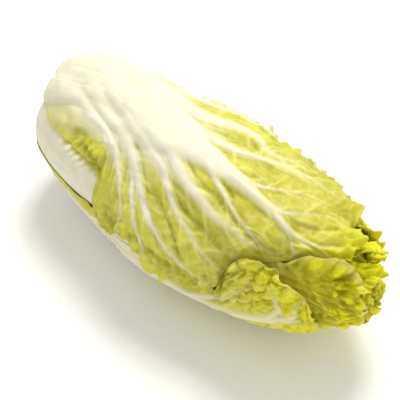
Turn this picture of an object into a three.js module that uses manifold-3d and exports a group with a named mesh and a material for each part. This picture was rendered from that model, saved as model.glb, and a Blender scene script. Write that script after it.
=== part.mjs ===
// Napa cabbage (Chinese leaf) head, lying on its side as picked.
//
// The head lies along X: the cut stem is at -X and the frilled leaf tips at +X. Z is up and the table
// is z = 0. It is built in layers, as it grew: a short stem, a packed heart, and six loose
// outer leaves that wrap the heart one over another. Every leaf is one closed shell with a thick white
// midrib, raised veins that peel off it, a thin puckered blade and a waved margin.
//
// A place on the head is given by three numbers:
//   s      millimetres along the profile of the heart, from the stem over the side to the tip
//   angle  degrees round the head from the top, growing towards -Y
//   h      millimetres above the heart's surface, where the leaves are stacked
import * as THREE from "three";
import { mergeVertices } from "three/addons/utils/BufferGeometryUtils.js";
import Module from "manifold-3d";

const DEG = Math.PI / 180;

// ---------------------------------------------------------------- driving dimensions (mm, degrees)

// Profile of the heart: [x, radius] from where the leaves join the stem to the middle of the tip.
const HEART_PROFILE = [
  [-141, 20], [-140, 28], [-132, 35.5], [-112, 42.5], [-85, 47.5], [-46, 50.5],
  [8, 51], [61, 47.5], [98, 38], [120, 28], [135, 17], [141, 8], [142.5, 0],
];
const HALF_LENGTH = 153; // half the head's length, for the bow of its axis
const BOW = 7.7; // how far the middle of the axis bends towards -Y
const AXIS_HEIGHT = 59.4; // height of the head's axis above the table
const UNDERSIDE = 45.3; // the heart's weight flattens its underside to this distance below the axis
const UNDERSIDE_FROM = 0.2; // cosine from straight down where the flattening begins
const SQUASH_BLEND = 8; // how softly the round side turns into the flattened underside
const SETTLE = 3; // what comes this near the table lies flat on it

const LAYER_GAP = 0.9; // free space between one leaf and the next
const TOP_GAP = 2.4; // and under the top leaf, whose ridges stand highest
const BLADE = 1.1; // thickness of the thin green blade
const MARGIN_BLADE = 0.8; // thickness of the blade at its edge

const STEM_RADIUS = 19.3;
const STEM_CHAMFER = 2.5;
const STEM_FROM = -154; // the cut face of the stem
const STEM_TO = -136.6;
const STEM_SIDES = 32;
const STEM_INNER = 0.8; // its inner end is narrower, as a share of its radius

// Midrib, against s: half width and thickness. RIB_FLANK rounds it over: [across, down].
const RIB_HALF_WIDTH = [
  [0, 13], [22, 26], [50, 32], [85, 34], [120, 29], [160, 20], [200, 12], [240, 6.5], [300, 3],
];
const RIB_THICKNESS = [
  [0, 5.2], [18, 7.6], [50, 7.4], [110, 6], [170, 4.4], [230, 2.8], [300, 1.6],
];
const RIB_FLANK = [2.6, 1.3];
const RIB_FOOT = 1.15; // it runs out past its half width by this share

// A main vein is a low ridge inside the midrib until it leaves it, then it stands highest and sinks
// towards the margin. Both against millimetres past the place where it leaves.
const VEIN_HEIGHT = [[-70, 0.7], [-1, 1.6], [0, 2.4], [130, 1]];
const VEIN_WIDTH = [[-1, 5], [0, 4.6], [120, 2.6]];
const VEIN_SPACING = 0.07; // least share of the blade between two of them
const INNERMOST_VEIN = 0.02;

// Folds of the blade: they fan out from a place on the midrib and deepen towards the tip.
const FOLDS_FROM = 130;
const FOLDS = 26;
const SMALL_FOLDS = 49;
const FOLD_DEPTH = [[90, 0.8], [200, 2.6], [225, 2.6], [270, 5.2]];
const FOLD_BREADTH = [[220, 20], [285, 26]]; // how far in from the margin they reach

// Every leaf, against s:
//   centre              where its midrib runs, in degrees from the top
//   near, far           how far the blade reaches from it to the side of growing angle and to the other
//   rows                rows of faces along it
//   end, rounding       where it ends, and how far the near and the far corner fall back there
//   nearLift, farLift   how far its margins stand off, in mm
//   nearRib, farRib     width of the midrib's two sides, as a share of RIB_HALF_WIDTH
//   nearVeins, farVeins main veins: [s where it leaves the midrib, degrees from it there, degrees per mm]
//   overTopFrom         past this s the leaf's frilled end comes out over the top leaf's margin
const VEINS_PLAIN = [[92, 24, 0.36], [120, 15, 0.36], [150, 8, 0.34]];
const VEINS_OUTER = [[90, 25, 0.38], [112, 17, 0.38], [138, 10, 0.36], [176, 4, 0.34]];
const REACH_PLAIN = [
  [0, 28], [25, 35], [60, 38], [95, 44], [130, 62], [170, 72], [220, 72], [262, 62], [305, 44],
];
const RIB_PLAIN = [[0, 1], [30, 0.8], [60, 0.65], [300, 0.6]];

const LEAVES = [
  {
    name: "leaf_1_top", rows: 32, end: 280, rounding: [4, 34],
    centre: [[0, 14], [25, 11], [60, 4], [110, 6], [154, 9], [196, 13], [225, 17], [244, 21], [284, 18]],
    near: [
      [0, 26], [25, 37], [36, 46], [50, 51], [70, 54], [88, 52], [100, 61], [112, 80], [124, 88], [140, 81],
      [156, 88], [168, 90], [193, 82], [206, 73], [216, 59], [228, 44], [242, 30], [258, 16], [284, 7],
    ],
    far: [
      [0, 40], [26, 47], [50, 48], [95, 52], [130, 57], [170, 63], [220, 75], [262, 74], [284, 68],
    ],
    nearLift: [[95, 0], [128, 2], [205, 2], [218, 0]],
    farLift: [[130, 0.5], [160, 4], [178, 0.5], [205, 2], [222, 3], [240, 3], [262, 3], [284, 2]],
    nearRib: [[0, 0.95], [25, 0.75], [50, 0.56], [85, 0.6], [110, 0.8], [150, 0.75], [200, 0.55]],
    farRib: [[0, 1], [40, 0.92], [80, 0.8], [120, 0.75], [160, 0.7], [200, 0.55]],
    nearVeins: [[96, 23, 0.52], [118, 17, 0.48], [152, 14, 0.22], [200, 6, 0.4]],
    farVeins: [[116, 36, 0.25], [140, 26, 0.22], [160, 14, 0.36], [222, 4, 0.9]],
  },
  {
    name: "leaf_2_near_side", rows: 28, end: 280, rounding: [34, 4],
    centre: [[0, 130], [80, 128], [150, 117], [200, 110], [231, 105], [262, 103], [300, 103]],
    near: [
      [0, 28], [25, 36], [60, 40], [95, 48], [130, 66], [170, 76], [220, 70], [262, 58], [300, 46],
    ],
    far: [
      [0, 32], [25, 38], [60, 36], [95, 35], [116, 32], [140, 42], [180, 42], [196, 28], [206, 17],
      [216, 16], [224, 38], [232, 54], [240, 56], [250, 52], [262, 44], [276, 28], [290, 16],
    ],
    nearLift: [[100, 0], [200, 1], [290, 0.5]],
    farLift: [[60, 0], [100, 1], [214, 0], [222, 2.5], [240, 4], [256, 2], [280, 0.5]],
    nearRib: [[0, 1], [60, 0.6]],
    farRib: [[0, 0.9], [30, 0.42], [100, 0.4], [150, 0.6], [300, 0.7]],
    nearVeins: VEINS_OUTER,
    farVeins: [[95, 16, 0.2], [128, 12, 0.2], [190, 5, 0.6], [236, 3, 0.9]],
    overTopFrom: 210,
  },
  {
    name: "leaf_3_far_side", rows: 26, end: 285, rounding: [14, 22],
    centre: [[0, -102], [90, -104], [180, -110], [300, -106]],
    near: [
      [0, 30], [25, 36], [60, 40], [95, 48], [130, 66], [170, 76], [220, 76], [262, 66], [300, 48],
    ],
    far: [
      [0, 28], [25, 35], [60, 38], [95, 46], [130, 62], [170, 70], [220, 70], [262, 62], [300, 46],
    ],
    nearLift: [[80, 0], [150, 2], [230, 0.5], [290, 0.5]],
    farLift: [[100, 0], [200, 0.8], [290, 0.5]],
    nearRib: [[0, 1], [60, 0.7]],
    farRib: [[0, 1], [60, 0.7]],
    nearVeins: VEINS_OUTER,
    farVeins: VEINS_OUTER,
  },
  {
    name: "leaf_4_inner_near_side", rows: 28, end: 295, rounding: [4, 14],
    centre: [[0, 74], [80, 79], [160, 72], [240, 66], [262, 68], [282, 78], [304, 90]],
    near: [
      [0, 28], [25, 35], [60, 38], [95, 44], [130, 62], [170, 72], [220, 72], [262, 60], [285, 54],
      [304, 58],
    ],
    far: [
      [0, 40], [25, 54], [60, 50], [95, 48], [130, 62], [170, 66], [216, 56], [232, 36], [242, 20],
      [252, 18], [260, 30], [269, 44], [280, 56], [292, 62], [304, 60],
    ],
    nearLift: [[262, 0], [285, 1], [304, 5]],
    farLift: [[250, 0], [262, 4], [285, 5], [304, 7]],
    nearRib: RIB_PLAIN,
    farRib: [[0, 1.4], [30, 1.15], [60, 0.6], [100, 0.5], [240, 0.5], [262, 0.2]],
    nearVeins: VEINS_PLAIN,
    farVeins: VEINS_PLAIN,
    overTopFrom: 247,
  },
  {
    name: "leaf_5_inner_underside", rows: 22, end: 291, rounding: [14, 14],
    centre: [[0, 190], [120, 192], [300, 184]],
    near: REACH_PLAIN,
    far: REACH_PLAIN,
    nearLift: [[262, 0], [288, 4]],
    farLift: [[262, 0], [288, 4]],
    nearRib: RIB_PLAIN,
    farRib: RIB_PLAIN,
    nearVeins: VEINS_PLAIN,
    farVeins: VEINS_PLAIN,
  },
  {
    name: "leaf_6_inner_far_side", rows: 24, end: 288, rounding: [14, 14],
    centre: [[0, -46], [120, -42], [300, -48]],
    near: [
      [0, 44], [25, 56], [60, 50], [95, 48], [130, 62], [170, 72], [220, 72], [262, 62], [305, 44],
    ],
    far: REACH_PLAIN,
    nearLift: [[262, 0], [288, 1.5]],
    farLift: [[262, 0], [288, 1.5]],
    nearRib: [[0, 1.4], [30, 1.2], [60, 0.7], [300, 0.6]],
    farRib: RIB_PLAIN,
    nearVeins: VEINS_PLAIN,
    farVeins: VEINS_PLAIN,
  },
];
const ROW_CROWDING = 0.25; // rows stand closer at both ends by this share
const END_TAPER = 6; // how late along a leaf its rows start to bend to the rounded end

// ---------------------------------------------------------------- small helpers

const clamp = (v, lo, hi) => Math.min(hi, Math.max(lo, v));
const smooth = (from, to, v) => {
  const t = clamp((v - from) / (to - from), 0, 1);
  return t * t * (3 - 2 * t);
};

// A smooth function through [x, value] rows, held level past either end.
function through(rows) {
  const xs = rows.map((r) => r[0]);
  const slope = rows.map((r, i) => {
    const a = rows[Math.max(i - 1, 0)];
    const b = rows[Math.min(i + 1, rows.length - 1)];
    return i === 0 || i === rows.length - 1 ? 0 : (b[1] - a[1]) / (b[0] - a[0]);
  });
  return (x) => {
    if (x <= xs[0]) return rows[0][1];
    if (x >= xs[xs.length - 1]) return rows[rows.length - 1][1];
    let i = 0;
    while (x > xs[i + 1]) i++;
    const w = xs[i + 1] - xs[i];
    const t = (x - xs[i]) / w;
    const t2 = t * t;
    const t3 = t2 * t;
    return (2 * t3 - 3 * t2 + 1) * rows[i][1] + (t3 - 2 * t2 + t) * w * slope[i] +
      (3 * t2 - 2 * t3) * rows[i + 1][1] + (t3 - t2) * w * slope[i + 1];
  };
}

// ---------------------------------------------------------------- the head's own surface

const heartCurve = new THREE.SplineCurve(HEART_PROFILE.map(([x, r]) => new THREE.Vector2(x, r)));
heartCurve.arcLengthDivisions = 400;
const PROFILE_LENGTH = heartCurve.getLength();

// Point and outward normal of the heart's profile, s millimetres from the stem.
function profileAt(s) {
  const u = clamp(s / PROFILE_LENGTH, 0, 1);
  const p = heartCurve.getPointAt(u);
  const t = heartCurve.getTangentAt(u);
  return { x: p.x, r: p.y, nx: -t.y, nr: t.x };
}

// The heart's radius, for turning degrees into millimetres. Near the tip's middle it stays usable.
const LEAST_RADIUS = 8;
const radiusAt = (s) => Math.max(profileAt(s).r, LEAST_RADIUS);

// Radius at an angle, flattened on the underside.
function squashed(radius, angle) {
  const down = -Math.cos(angle * DEG);
  if (down < UNDERSIDE_FROM) return radius;
  const limit = UNDERSIDE / down;
  const k = clamp(0.5 + (0.5 * (limit - radius)) / SQUASH_BLEND, 0, 1);
  return limit * (1 - k) + radius * k - SQUASH_BLEND * k * (1 - k);
}

// A point at a distance from the head's bent axis.
function round(x, angle, radius) {
  const bend = BOW * Math.max(0, 1 - (x / HALF_LENGTH) ** 2);
  const turn = angle * DEG;
  return new THREE.Vector3(x, -radius * Math.sin(turn) - bend, radius * Math.cos(turn) + AXIS_HEIGHT);
}

function place(s, angle, h) {
  const p = profileAt(s);
  const x = p.x + p.nx * h;
  const radius = Math.max(0, squashed(p.r, angle) + p.nr * h);
  return round(x, angle, radius);
}

// ---------------------------------------------------------------- one leaf, as functions of s and angle

const ribHalfWidth = through(RIB_HALF_WIDTH);
const ribThickness = through(RIB_THICKNESS);
const veinHeight = through(VEIN_HEIGHT);
const veinWidth = through(VEIN_WIDTH);
const foldDepth = through(FOLD_DEPTH);
const foldBreadth = through(FOLD_BREADTH);

function makeLeaf(spec, index) {
  const centre = through(spec.centre);
  const reach = { 1: through(spec.near), "-1": through(spec.far) };
  const lift = { 1: through(spec.nearLift), "-1": through(spec.farLift) };
  const ribShare = { 1: through(spec.nearRib), "-1": through(spec.farRib) };
  const veins = { 1: spec.nearVeins, "-1": spec.farVeins };
  const ribDegrees = (s) => ribHalfWidth(s) / radiusAt(s) / DEG;

  // Where vein i of a side runs at s, as a share of the way from the midrib to the margin.
  // Until it leaves, it is a ridge inside the midrib.
  function veinShare(side, i, s) {
    let before = 1;
    for (let k = 0; k <= i; k++) {
      const [start, offset, fan] = veins[side][k];
      const inside = (offset * ribDegrees(s)) / ribDegrees(start);
      const degrees = s < start ? inside : offset + fan * (s - start);
      before = Math.min(degrees / reach[side](s), before - VEIN_SPACING);
    }
    return Math.max(before, INNERMOST_VEIN);
  }

  // Signed share across the leaf at s and angle: 0 on the midrib, 1 and -1 on the margins.
  function shareAt(s, angle) {
    let d = angle - centre(s);
    d -= 360 * Math.round(d / 360);
    return d / reach[d < 0 ? -1 : 1](s);
  }

  const endAt = (share) => spec.end - spec.rounding[share < 0 ? 1 : 0] * Math.abs(share) ** 3;

  // Millimetres from the margin, positive on the leaf.
  function inset(s, angle) {
    const share = shareAt(s, angle);
    const width = reach[share < 0 ? -1 : 1](s) * DEG * radiusAt(s);
    return Math.min((1 - Math.abs(share)) * width, endAt(clamp(share, -1, 1)) - s);
  }

  // Thickness of the leaf with its midrib, its ridges and the raised veins.
  function thickness(s, angle) {
    const share = shareAt(s, angle);
    const side = share < 0 ? -1 : 1;
    const across = Math.abs(share) * reach[side](s);
    const q = across / (ribDegrees(s) * RIB_FOOT * ribShare[side](s));
    const rib = ribThickness(s) * (1 - Math.min(q, 1) ** RIB_FLANK[0]) ** RIB_FLANK[1];
    const edge = inset(s, angle);
    const blade = MARGIN_BLADE + (BLADE - MARGIN_BLADE) * smooth(0, 12, edge);
    let vein = 0;
    for (let i = 0; i < veins[side].length; i++) {
      const apart = Math.abs(Math.abs(share) - veinShare(side, i, s));
      const away = apart * reach[side](s) * DEG * radiusAt(s);
      const past = s - veins[side][i][0];
      vein = Math.max(vein, veinHeight(past) * Math.exp(-((away / veinWidth(past)) ** 2)));
    }
    return blade + rib + vein * smooth(0, 6, edge);
  }

  // How far the blade waves out from what is under it.
  function wave(s, angle) {
    const share = shareAt(s, angle);
    const side = share < 0 ? -1 : 1;
    const edge = inset(s, angle);
    const across = share * reach[side](s) * DEG * radiusAt(s);
    const fan = Math.atan2(across, s - FOLDS_FROM);
    const uneven = 2.1 * Math.sin(6 * fan + index);
    const fold = Math.sin(FOLDS * fan + uneven + 1.7 * index);
    const small = Math.sin(SMALL_FOLDS * fan + 1.3 * index);
    const near = 1 - smooth(0, foldBreadth(s), edge);
    return near * (foldDepth(s) * (0.3 + 0.55 * fold + 0.15 * small) + lift[side](s));
  }

  const gap = index ? LAYER_GAP : TOP_GAP;
  return { ...spec, gap, centre, reach, veins, veinShare, shareAt, endAt, inset, thickness, wave };
}

const leaves = LEAVES.map(makeLeaf);

// Whether leaf j lies over leaf k at s. An outer leaf does, but the frilled ends cross the top leaf.
function liesOver(j, k, s) {
  if (j > 0 && k > 0) return j < k;
  const crossed = s > (leaves[j + k].overTopFrom ?? Infinity);
  return crossed === (k === 0);
}

// How much of a place on leaf k is covered by other leaves, 0 to 1.
function cover(k, s, angle) {
  let most = 0;
  for (let j = 0; j < leaves.length; j++)
    if (j !== k && liesOver(j, k, s)) most = Math.max(most, smooth(-SPREAD, 0, leaves[j].inset(s, angle)));
  return most;
}

// The waves die down towards the underside, and the head's own weight presses them flat there.
const calmed = (down) => 0.75 * smooth(0.2, 0.75, down);
const pressed = (down) => smooth(0.78, 0.96, down);
function raised(k, s, angle) {
  const down = -Math.cos(angle * DEG);
  return leaves[k].wave(s, angle) * (1 - cover(k, s, angle)) * (1 - pressed(down)) * (1 - calmed(down));
}

// ---------------------------------------------------------------- stacking the leaves

const GRID_STEP = 3; // mm along s
const GRID_TURN = 2; // degrees round the head
const GRID_ROWS = Math.floor(PROFILE_LENGTH / GRID_STEP) + 1;
const GRID_COLUMNS = 360 / GRID_TURN;
const SPREAD = 14; // mm: a leaf clears everything this near under it
const SOFTEN = 7; // mm: and bridges hollows over this distance
const WIDEST_WINDOW = 30; // columns
const CROSSING = [-3, 7]; // mm about overTopFrom in which a frilled end climbs onto the top leaf

const grid = (make) => Array.from({ length: GRID_ROWS }, (_, i) =>
  Float64Array.from({ length: GRID_COLUMNS }, (_, j) => make(i, j)));

// Runs over a field with a window of that many millimetres either way, along s and then round the head.
function windowed(field, mm, combine) {
  const along = Math.round(mm / GRID_STEP);
  const first = grid((i, j) => combine(Array.from({ length: 2 * along + 1 }, (_, k) =>
    field[clamp(i + k - along, 0, GRID_ROWS - 1)][j])));
  return grid((i, j) => {
    const turn = mm / (radiusAt(i * GRID_STEP) * DEG) / GRID_TURN;
    const about = clamp(Math.round(turn), 1, WIDEST_WINDOW);
    return combine(Array.from({ length: 2 * about + 1 }, (_, k) =>
      first[i][(j + k - about + GRID_COLUMNS) % GRID_COLUMNS]));
  });
}
const highest = (values) => Math.max(...values);
const average = (values) => values.reduce((a, b) => a + b, 0) / values.length;

function sample(field, s, angle) {
  const i = clamp(s / GRID_STEP, 0, GRID_ROWS - 1.001);
  const j = (((angle % 360) + 360) % 360) / GRID_TURN;
  const [i0, j0] = [Math.floor(i), Math.floor(j) % GRID_COLUMNS];
  const [u, v, j1] = [i - i0, j - Math.floor(j), (j0 + 1) % GRID_COLUMNS];
  return (field[i0][j0] * (1 - v) + field[i0][j1] * v) * (1 - u) +
    (field[i0 + 1][j0] * (1 - v) + field[i0 + 1][j1] * v) * u;
}

// Lays the leaves from the innermost out. Each rests on everything under it, and the frilled ends
// that come out over the top leaf's margin rest on that as well.
const bedded = (field) => windowed(windowed(field, SPREAD, highest), SOFTEN, average);

// The upper face of leaf k where it lies, and 0 elsewhere.
const upperFace = (k) => grid((i, j) => {
  const [s, angle] = [i * GRID_STEP, j * GRID_TURN];
  if (leaves[k].inset(s, angle) < -1) return 0;
  return leaves[k].rest[i][j] + leaves[k].gap + leaves[k].thickness(s, angle) + raised(k, s, angle);
});
const laidOver = (face, field, counts) => grid((i, j) => (counts(i) && face[i][j]) || field[i][j]);

let top = grid(() => 0);
let low = top; // the same, without the ends that come out over the top leaf
for (let k = leaves.length - 1; k >= 0; k--) {
  leaves[k].rest = bedded(k ? top : low);
  const face = upperFace(k);
  top = laidOver(face, top, () => true);
  low = laidOver(face, low, (i) => i * GRID_STEP < (leaves[k].overTopFrom ?? Infinity));
}
let onTop = upperFace(0);
for (let k = leaves.length - 1; k > 0; k--) {
  if (!leaves[k].overTopFrom) continue;
  const over = (i) => smooth(...CROSSING.map((d) => leaves[k].overTopFrom + d), i * GRID_STEP);
  const [rest, climb] = [leaves[k].rest, bedded(onTop)];
  leaves[k].rest = grid((i, j) => Math.max(rest[i][j], climb[i][j] * over(i)));
  onTop = laidOver(upperFace(k), onTop, (i) => over(i) > 0);
}

// ---------------------------------------------------------------- meshes

// A closed shell between two grids of points that share rows and columns, split alike on both faces.
function shell(outer, inner) {
  const rows = outer.length;
  const columns = outer[0].length;
  const points = [...outer.flat(), ...inner.flat()];
  const at = (i, j, side) => side * rows * columns + i * columns + j;
  const faces = [];
  for (let i = 0; i < rows - 1; i++)
    for (let j = 0; j < columns - 1; j++) {
      faces.push([at(i, j, 0), at(i + 1, j + 1, 0), at(i + 1, j, 0)]);
      faces.push([at(i, j, 0), at(i, j + 1, 0), at(i + 1, j + 1, 0)]);
      faces.push([at(i, j, 1), at(i + 1, j, 1), at(i + 1, j + 1, 1)]);
      faces.push([at(i, j, 1), at(i + 1, j + 1, 1), at(i, j + 1, 1)]);
    }
  const rim = (a, b) => {
    faces.push([at(...a, 0), at(...b, 1), at(...b, 0)]);
    faces.push([at(...a, 0), at(...a, 1), at(...b, 1)]);
  };
  for (let i = 0; i < rows - 1; i++) {
    rim([i + 1, 0], [i, 0]);
    rim([i, columns - 1], [i + 1, columns - 1]);
  }
  for (let j = 0; j < columns - 1; j++) {
    rim([0, j], [0, j + 1]);
    rim([rows - 1, j + 1], [rows - 1, j]);
  }
  const geometry = new THREE.BufferGeometry().setFromPoints(points);
  geometry.setIndex(faces.flat());
  return geometry;
}

// Columns of a leaf: its margins, its veins, its midrib and a line half-way between each two.
function columnShares(leaf, s) {
  const side = (which) => {
    const lines = [1, ...leaf.veins[which].map((_, i) => leaf.veinShare(which, i, s)), 0];
    return lines.flatMap((v, i) => (i ? [(lines[i - 1] + v) / 2, v] : [v])).map((v) => v * which);
  };
  return [...side(-1), ...side(1).reverse().slice(1)];
}

function leafGeometry(k) {
  const leaf = leaves[k];
  const outer = [];
  const inner = [];
  for (let i = 0; i <= leaf.rows; i++) {
    const t = i / leaf.rows;
    const run = leaf.end * (t - (ROW_CROWDING / (2 * Math.PI)) * Math.sin(2 * Math.PI * t));
    const shares = columnShares(leaf, run);
    const places = shares.map((share) => {
      const s = run - (leaf.end - leaf.endAt(share)) * t ** END_TAPER;
      const angle = leaf.centre(s) + share * leaf.reach[share < 0 ? -1 : 1](s);
      const under = sample(leaf.rest, s, angle) + leaf.gap + raised(k, s, angle);
      return [place(s, angle, under + leaf.thickness(s, angle)), place(s, angle, under)];
    });
    outer.push(places.map(([p]) => p.setZ(p.z < SETTLE ? 0 : p.z)));
    inner.push(places.map(([, p]) => p));
  }
  return shell(outer, inner);
}

const wasm = await Module();
wasm.setup();

function solid(geometry) {
  const bare = geometry.index ? geometry.clone() : geometry;
  bare.deleteAttribute("normal");
  bare.deleteAttribute("uv");
  const merged = mergeVertices(bare, 1e-3);
  return new wasm.Manifold(new wasm.Mesh({
    numProp: 3,
    vertProperties: merged.attributes.position.array,
    triVerts: new Uint32Array(merged.index.array),
  }));
}

function geometryOf(manifold) {
  const mesh = manifold.getMesh();
  return new THREE.BufferGeometry()
    .setAttribute("position", new THREE.BufferAttribute(mesh.vertProperties, 3))
    .setIndex(new THREE.BufferAttribute(mesh.triVerts, 1));
}

// ---------------------------------------------------------------- the heart

const CORE_FROM = 14; // s where the heart's core begins, clear of the stem
const CORE_TO = 306; // and where it stops, under the standing frills
const CORE_ROWS = 18;
const CORE_COLUMNS = 36;
const CORE_CLEARANCE = 0.8;
const CORE_RECESS = 0.6; // free space between it and the stem
const FRILLS = 10; // small leaves that stand in the middle of the tip
const FRILL_TURN = 137.5;
const FRILL_OUTER_RADIUS = 17.6;
const FRILL_STEP = 1.75;
const FRILL_FOOT_X = 108;
const FRILL_TOP_X = 149;
const FRILL_HALF_ANGLE = 66;
const FRILL_THICKNESS = 1.1;
const FRILL_ROWS = 6;
const FRILL_COLUMNS = 14;
const FRILL_FLARE = 0.35; // how far its top leans out, as a share of its radius
const FRILL_CORNERS = 7; // how far its corners fall back

// The core under the frills: the heart's own surface, closed at both ends.
function coreGeometry() {
  const points = [];
  const faces = [];
  for (let i = 0; i <= CORE_ROWS; i++) {
    const s = CORE_FROM + ((CORE_TO - CORE_FROM) * (i - 1)) / (CORE_ROWS - 1);
    for (let j = 0; j < CORE_COLUMNS; j++) {
      const angle = (j * 360) / CORE_COLUMNS;
      points.push(i ? place(s, angle, -CORE_CLEARANCE) : round(STEM_TO + CORE_RECESS, angle, STEM_RADIUS));
    }
  }
  const at = (i, j) => i * CORE_COLUMNS + (j % CORE_COLUMNS);
  for (let i = 0; i < CORE_ROWS; i++)
    for (let j = 0; j < CORE_COLUMNS; j++) {
      faces.push([at(i, j), at(i + 1, j + 1), at(i + 1, j)]);
      faces.push([at(i, j), at(i, j + 1), at(i + 1, j + 1)]);
    }
  const ends = [points.length, points.length + 1];
  for (const row of [0, CORE_ROWS]) {
    const ring = points.slice(row * CORE_COLUMNS, (row + 1) * CORE_COLUMNS);
    points.push(ring.reduce((a, b) => a.clone().add(b)).divideScalar(CORE_COLUMNS));
  }
  for (let j = 0; j < CORE_COLUMNS; j++) {
    faces.push([ends[0], at(0, j + 1), at(0, j)]);
    faces.push([ends[1], at(CORE_ROWS, j), at(CORE_ROWS, j + 1)]);
  }
  const geometry = new THREE.BufferGeometry().setFromPoints(points);
  geometry.setIndex(faces.flat());
  return geometry;
}

// One small leaf of the heart: it stands round the axis and its top edge waves.
function frillGeometry(k) {
  const radius = FRILL_OUTER_RADIUS - FRILL_STEP * k;
  const topX = FRILL_TOP_X + 2 * Math.sin(2.4 * k);
  const point = (t, share, offset) => {
    const top = topX - FRILL_CORNERS * share ** 4;
    const ruffle = (1.2 + 0.14 * radius) * t ** 4 * Math.sin(10 * share + 1.9 * k);
    const out = Math.max(radius * (1 + FRILL_FLARE * t ** 4) + ruffle + offset, 0.3);
    const x = FRILL_FOOT_X + (top - FRILL_FOOT_X) * t;
    return round(x, FRILL_TURN * k + share * FRILL_HALF_ANGLE, out);
  };
  const sheet = (offset) => Array.from({ length: FRILL_ROWS + 1 }, (_, i) =>
    Array.from({ length: FRILL_COLUMNS + 1 }, (_, j) =>
      point(i / FRILL_ROWS, (2 * j) / FRILL_COLUMNS - 1, offset)));
  return shell(sheet(FRILL_THICKNESS), sheet(0));
}

function heartGeometry() {
  let heart = solid(coreGeometry());
  for (let k = 0; k < FRILLS; k++) heart = heart.add(solid(frillGeometry(k)));
  return geometryOf(heart);
}

// ---------------------------------------------------------------- the stem

function stemGeometry() {
  const geometry = new THREE.LatheGeometry([
    new THREE.Vector2(0, 0),
    new THREE.Vector2(STEM_RADIUS - STEM_CHAMFER, 0),
    new THREE.Vector2(STEM_RADIUS, STEM_CHAMFER),
    new THREE.Vector2(STEM_RADIUS * STEM_INNER, STEM_TO - STEM_FROM),
    new THREE.Vector2(0, STEM_TO - STEM_FROM),
  ], STEM_SIDES);
  const at = geometry.attributes.position;
  for (let i = 0; i < at.count; i++) {
    const angle = Math.atan2(at.getX(i), at.getZ(i)) / DEG;
    const p = round(STEM_FROM + at.getY(i), angle, Math.hypot(at.getX(i), at.getZ(i)));
    at.setXYZ(i, p.x, p.y, p.z);
  }
  return geometry;
}

// ---------------------------------------------------------------- the head

const WHITE_GREEN = 0xdfe6a8;
const YELLOW_GREEN = 0xcfd45a;
const CREAM = 0xefebd2;

function node(name, geometry, color, roughness) {
  const mesh = new THREE.Mesh(geometry, new THREE.MeshStandardMaterial({ color, roughness, metalness: 0 }));
  mesh.name = name;
  return mesh;
}

const head = new THREE.Group();
head.add(node("stem", stemGeometry(), CREAM, 0.7));
head.add(node("heart", heartGeometry(), YELLOW_GREEN, 0.55));
leaves.forEach((leaf, k) => head.add(node(leaf.name, leafGeometry(k), WHITE_GREEN, 0.5)));

// The origin is the middle of the head's box, on the table.
const box = new THREE.Box3().setFromObject(head);
const middle = box.getCenter(new THREE.Vector3());
for (const mesh of head.children) mesh.geometry.translate(-middle.x, -middle.y, -box.min.z);

export default head;
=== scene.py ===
"""A napa cabbage head lying on its side: six loose outer leaves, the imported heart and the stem.

Lengths are in millimetres until a mesh is made. A place on the head is given by s, millimetres
along the heart's profile from the stem to the tip, by the angle round the head in degrees from
the top towards -Y, and by h, the height above the heart. Leaves are stacked by h, innermost first.
"""

import math

import bpy
import numpy as np
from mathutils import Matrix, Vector


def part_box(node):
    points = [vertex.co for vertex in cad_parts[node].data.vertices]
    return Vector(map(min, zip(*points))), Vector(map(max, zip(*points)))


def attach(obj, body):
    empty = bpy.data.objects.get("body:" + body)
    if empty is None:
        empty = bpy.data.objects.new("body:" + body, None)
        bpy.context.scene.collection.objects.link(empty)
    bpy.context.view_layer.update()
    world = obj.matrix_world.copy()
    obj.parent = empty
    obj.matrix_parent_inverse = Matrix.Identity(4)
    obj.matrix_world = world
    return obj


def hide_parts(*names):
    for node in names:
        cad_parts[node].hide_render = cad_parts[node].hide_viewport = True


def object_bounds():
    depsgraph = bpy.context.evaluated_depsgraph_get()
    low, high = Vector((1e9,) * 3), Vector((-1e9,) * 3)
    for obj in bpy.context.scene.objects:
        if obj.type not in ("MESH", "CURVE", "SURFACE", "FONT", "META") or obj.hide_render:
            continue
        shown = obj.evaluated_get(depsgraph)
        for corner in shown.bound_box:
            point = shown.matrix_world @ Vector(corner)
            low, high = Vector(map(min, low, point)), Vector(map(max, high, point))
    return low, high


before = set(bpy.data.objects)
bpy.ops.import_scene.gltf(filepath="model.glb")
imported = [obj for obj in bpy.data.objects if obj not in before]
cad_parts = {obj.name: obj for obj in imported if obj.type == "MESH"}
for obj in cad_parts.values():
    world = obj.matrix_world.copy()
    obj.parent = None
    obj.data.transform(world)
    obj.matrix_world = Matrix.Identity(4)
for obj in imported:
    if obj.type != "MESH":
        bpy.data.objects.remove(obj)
CAD_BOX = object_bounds()

bl_info = {
    "name": "Napa Cabbage",
    "version": (1, 0, 0),
    "blender": (4, 5, 0),
    "location": "View3D > Sidebar > Cabbage",
    "description": "Grows a napa cabbage head, leaf over leaf, and sets it on a pale table",
    "category": "Add Mesh",
}

DEG = math.pi / 180
MM = 0.001
# Masks that the leaf material reads. crumple and hollow carry painted light and shade: lighter on
# the tops, darker in folds and hollows.
MASKS = ("white", "net", "crumple", "edge", "hollow")
windows = np.lib.stride_tricks.sliding_window_view

# ------------------------------------------------------------------ the head's own form


def through(rows):
    """A smooth function through (x, value) rows, held level past either end."""
    xs, ys = np.array(rows, float).T
    if len(xs) == 1:
        return lambda x: np.full(np.shape(x), ys[0])
    slope = np.zeros(len(xs))
    slope[1:-1] = (ys[2:] - ys[:-2]) / (xs[2:] - xs[:-2])

    def value(x):
        x = np.clip(x, xs[0], xs[-1])
        i = np.clip(np.searchsorted(xs, x, side="right") - 1, 0, len(xs) - 2)
        w = xs[i + 1] - xs[i]
        t = (x - xs[i]) / w
        return (
            (2 * t**3 - 3 * t**2 + 1) * ys[i] + (t**3 - 2 * t**2 + t) * w * slope[i]
            + (3 * t**2 - 2 * t**3) * ys[i + 1] + (t**3 - t**2) * w * slope[i + 1]
        )

    return value


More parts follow.
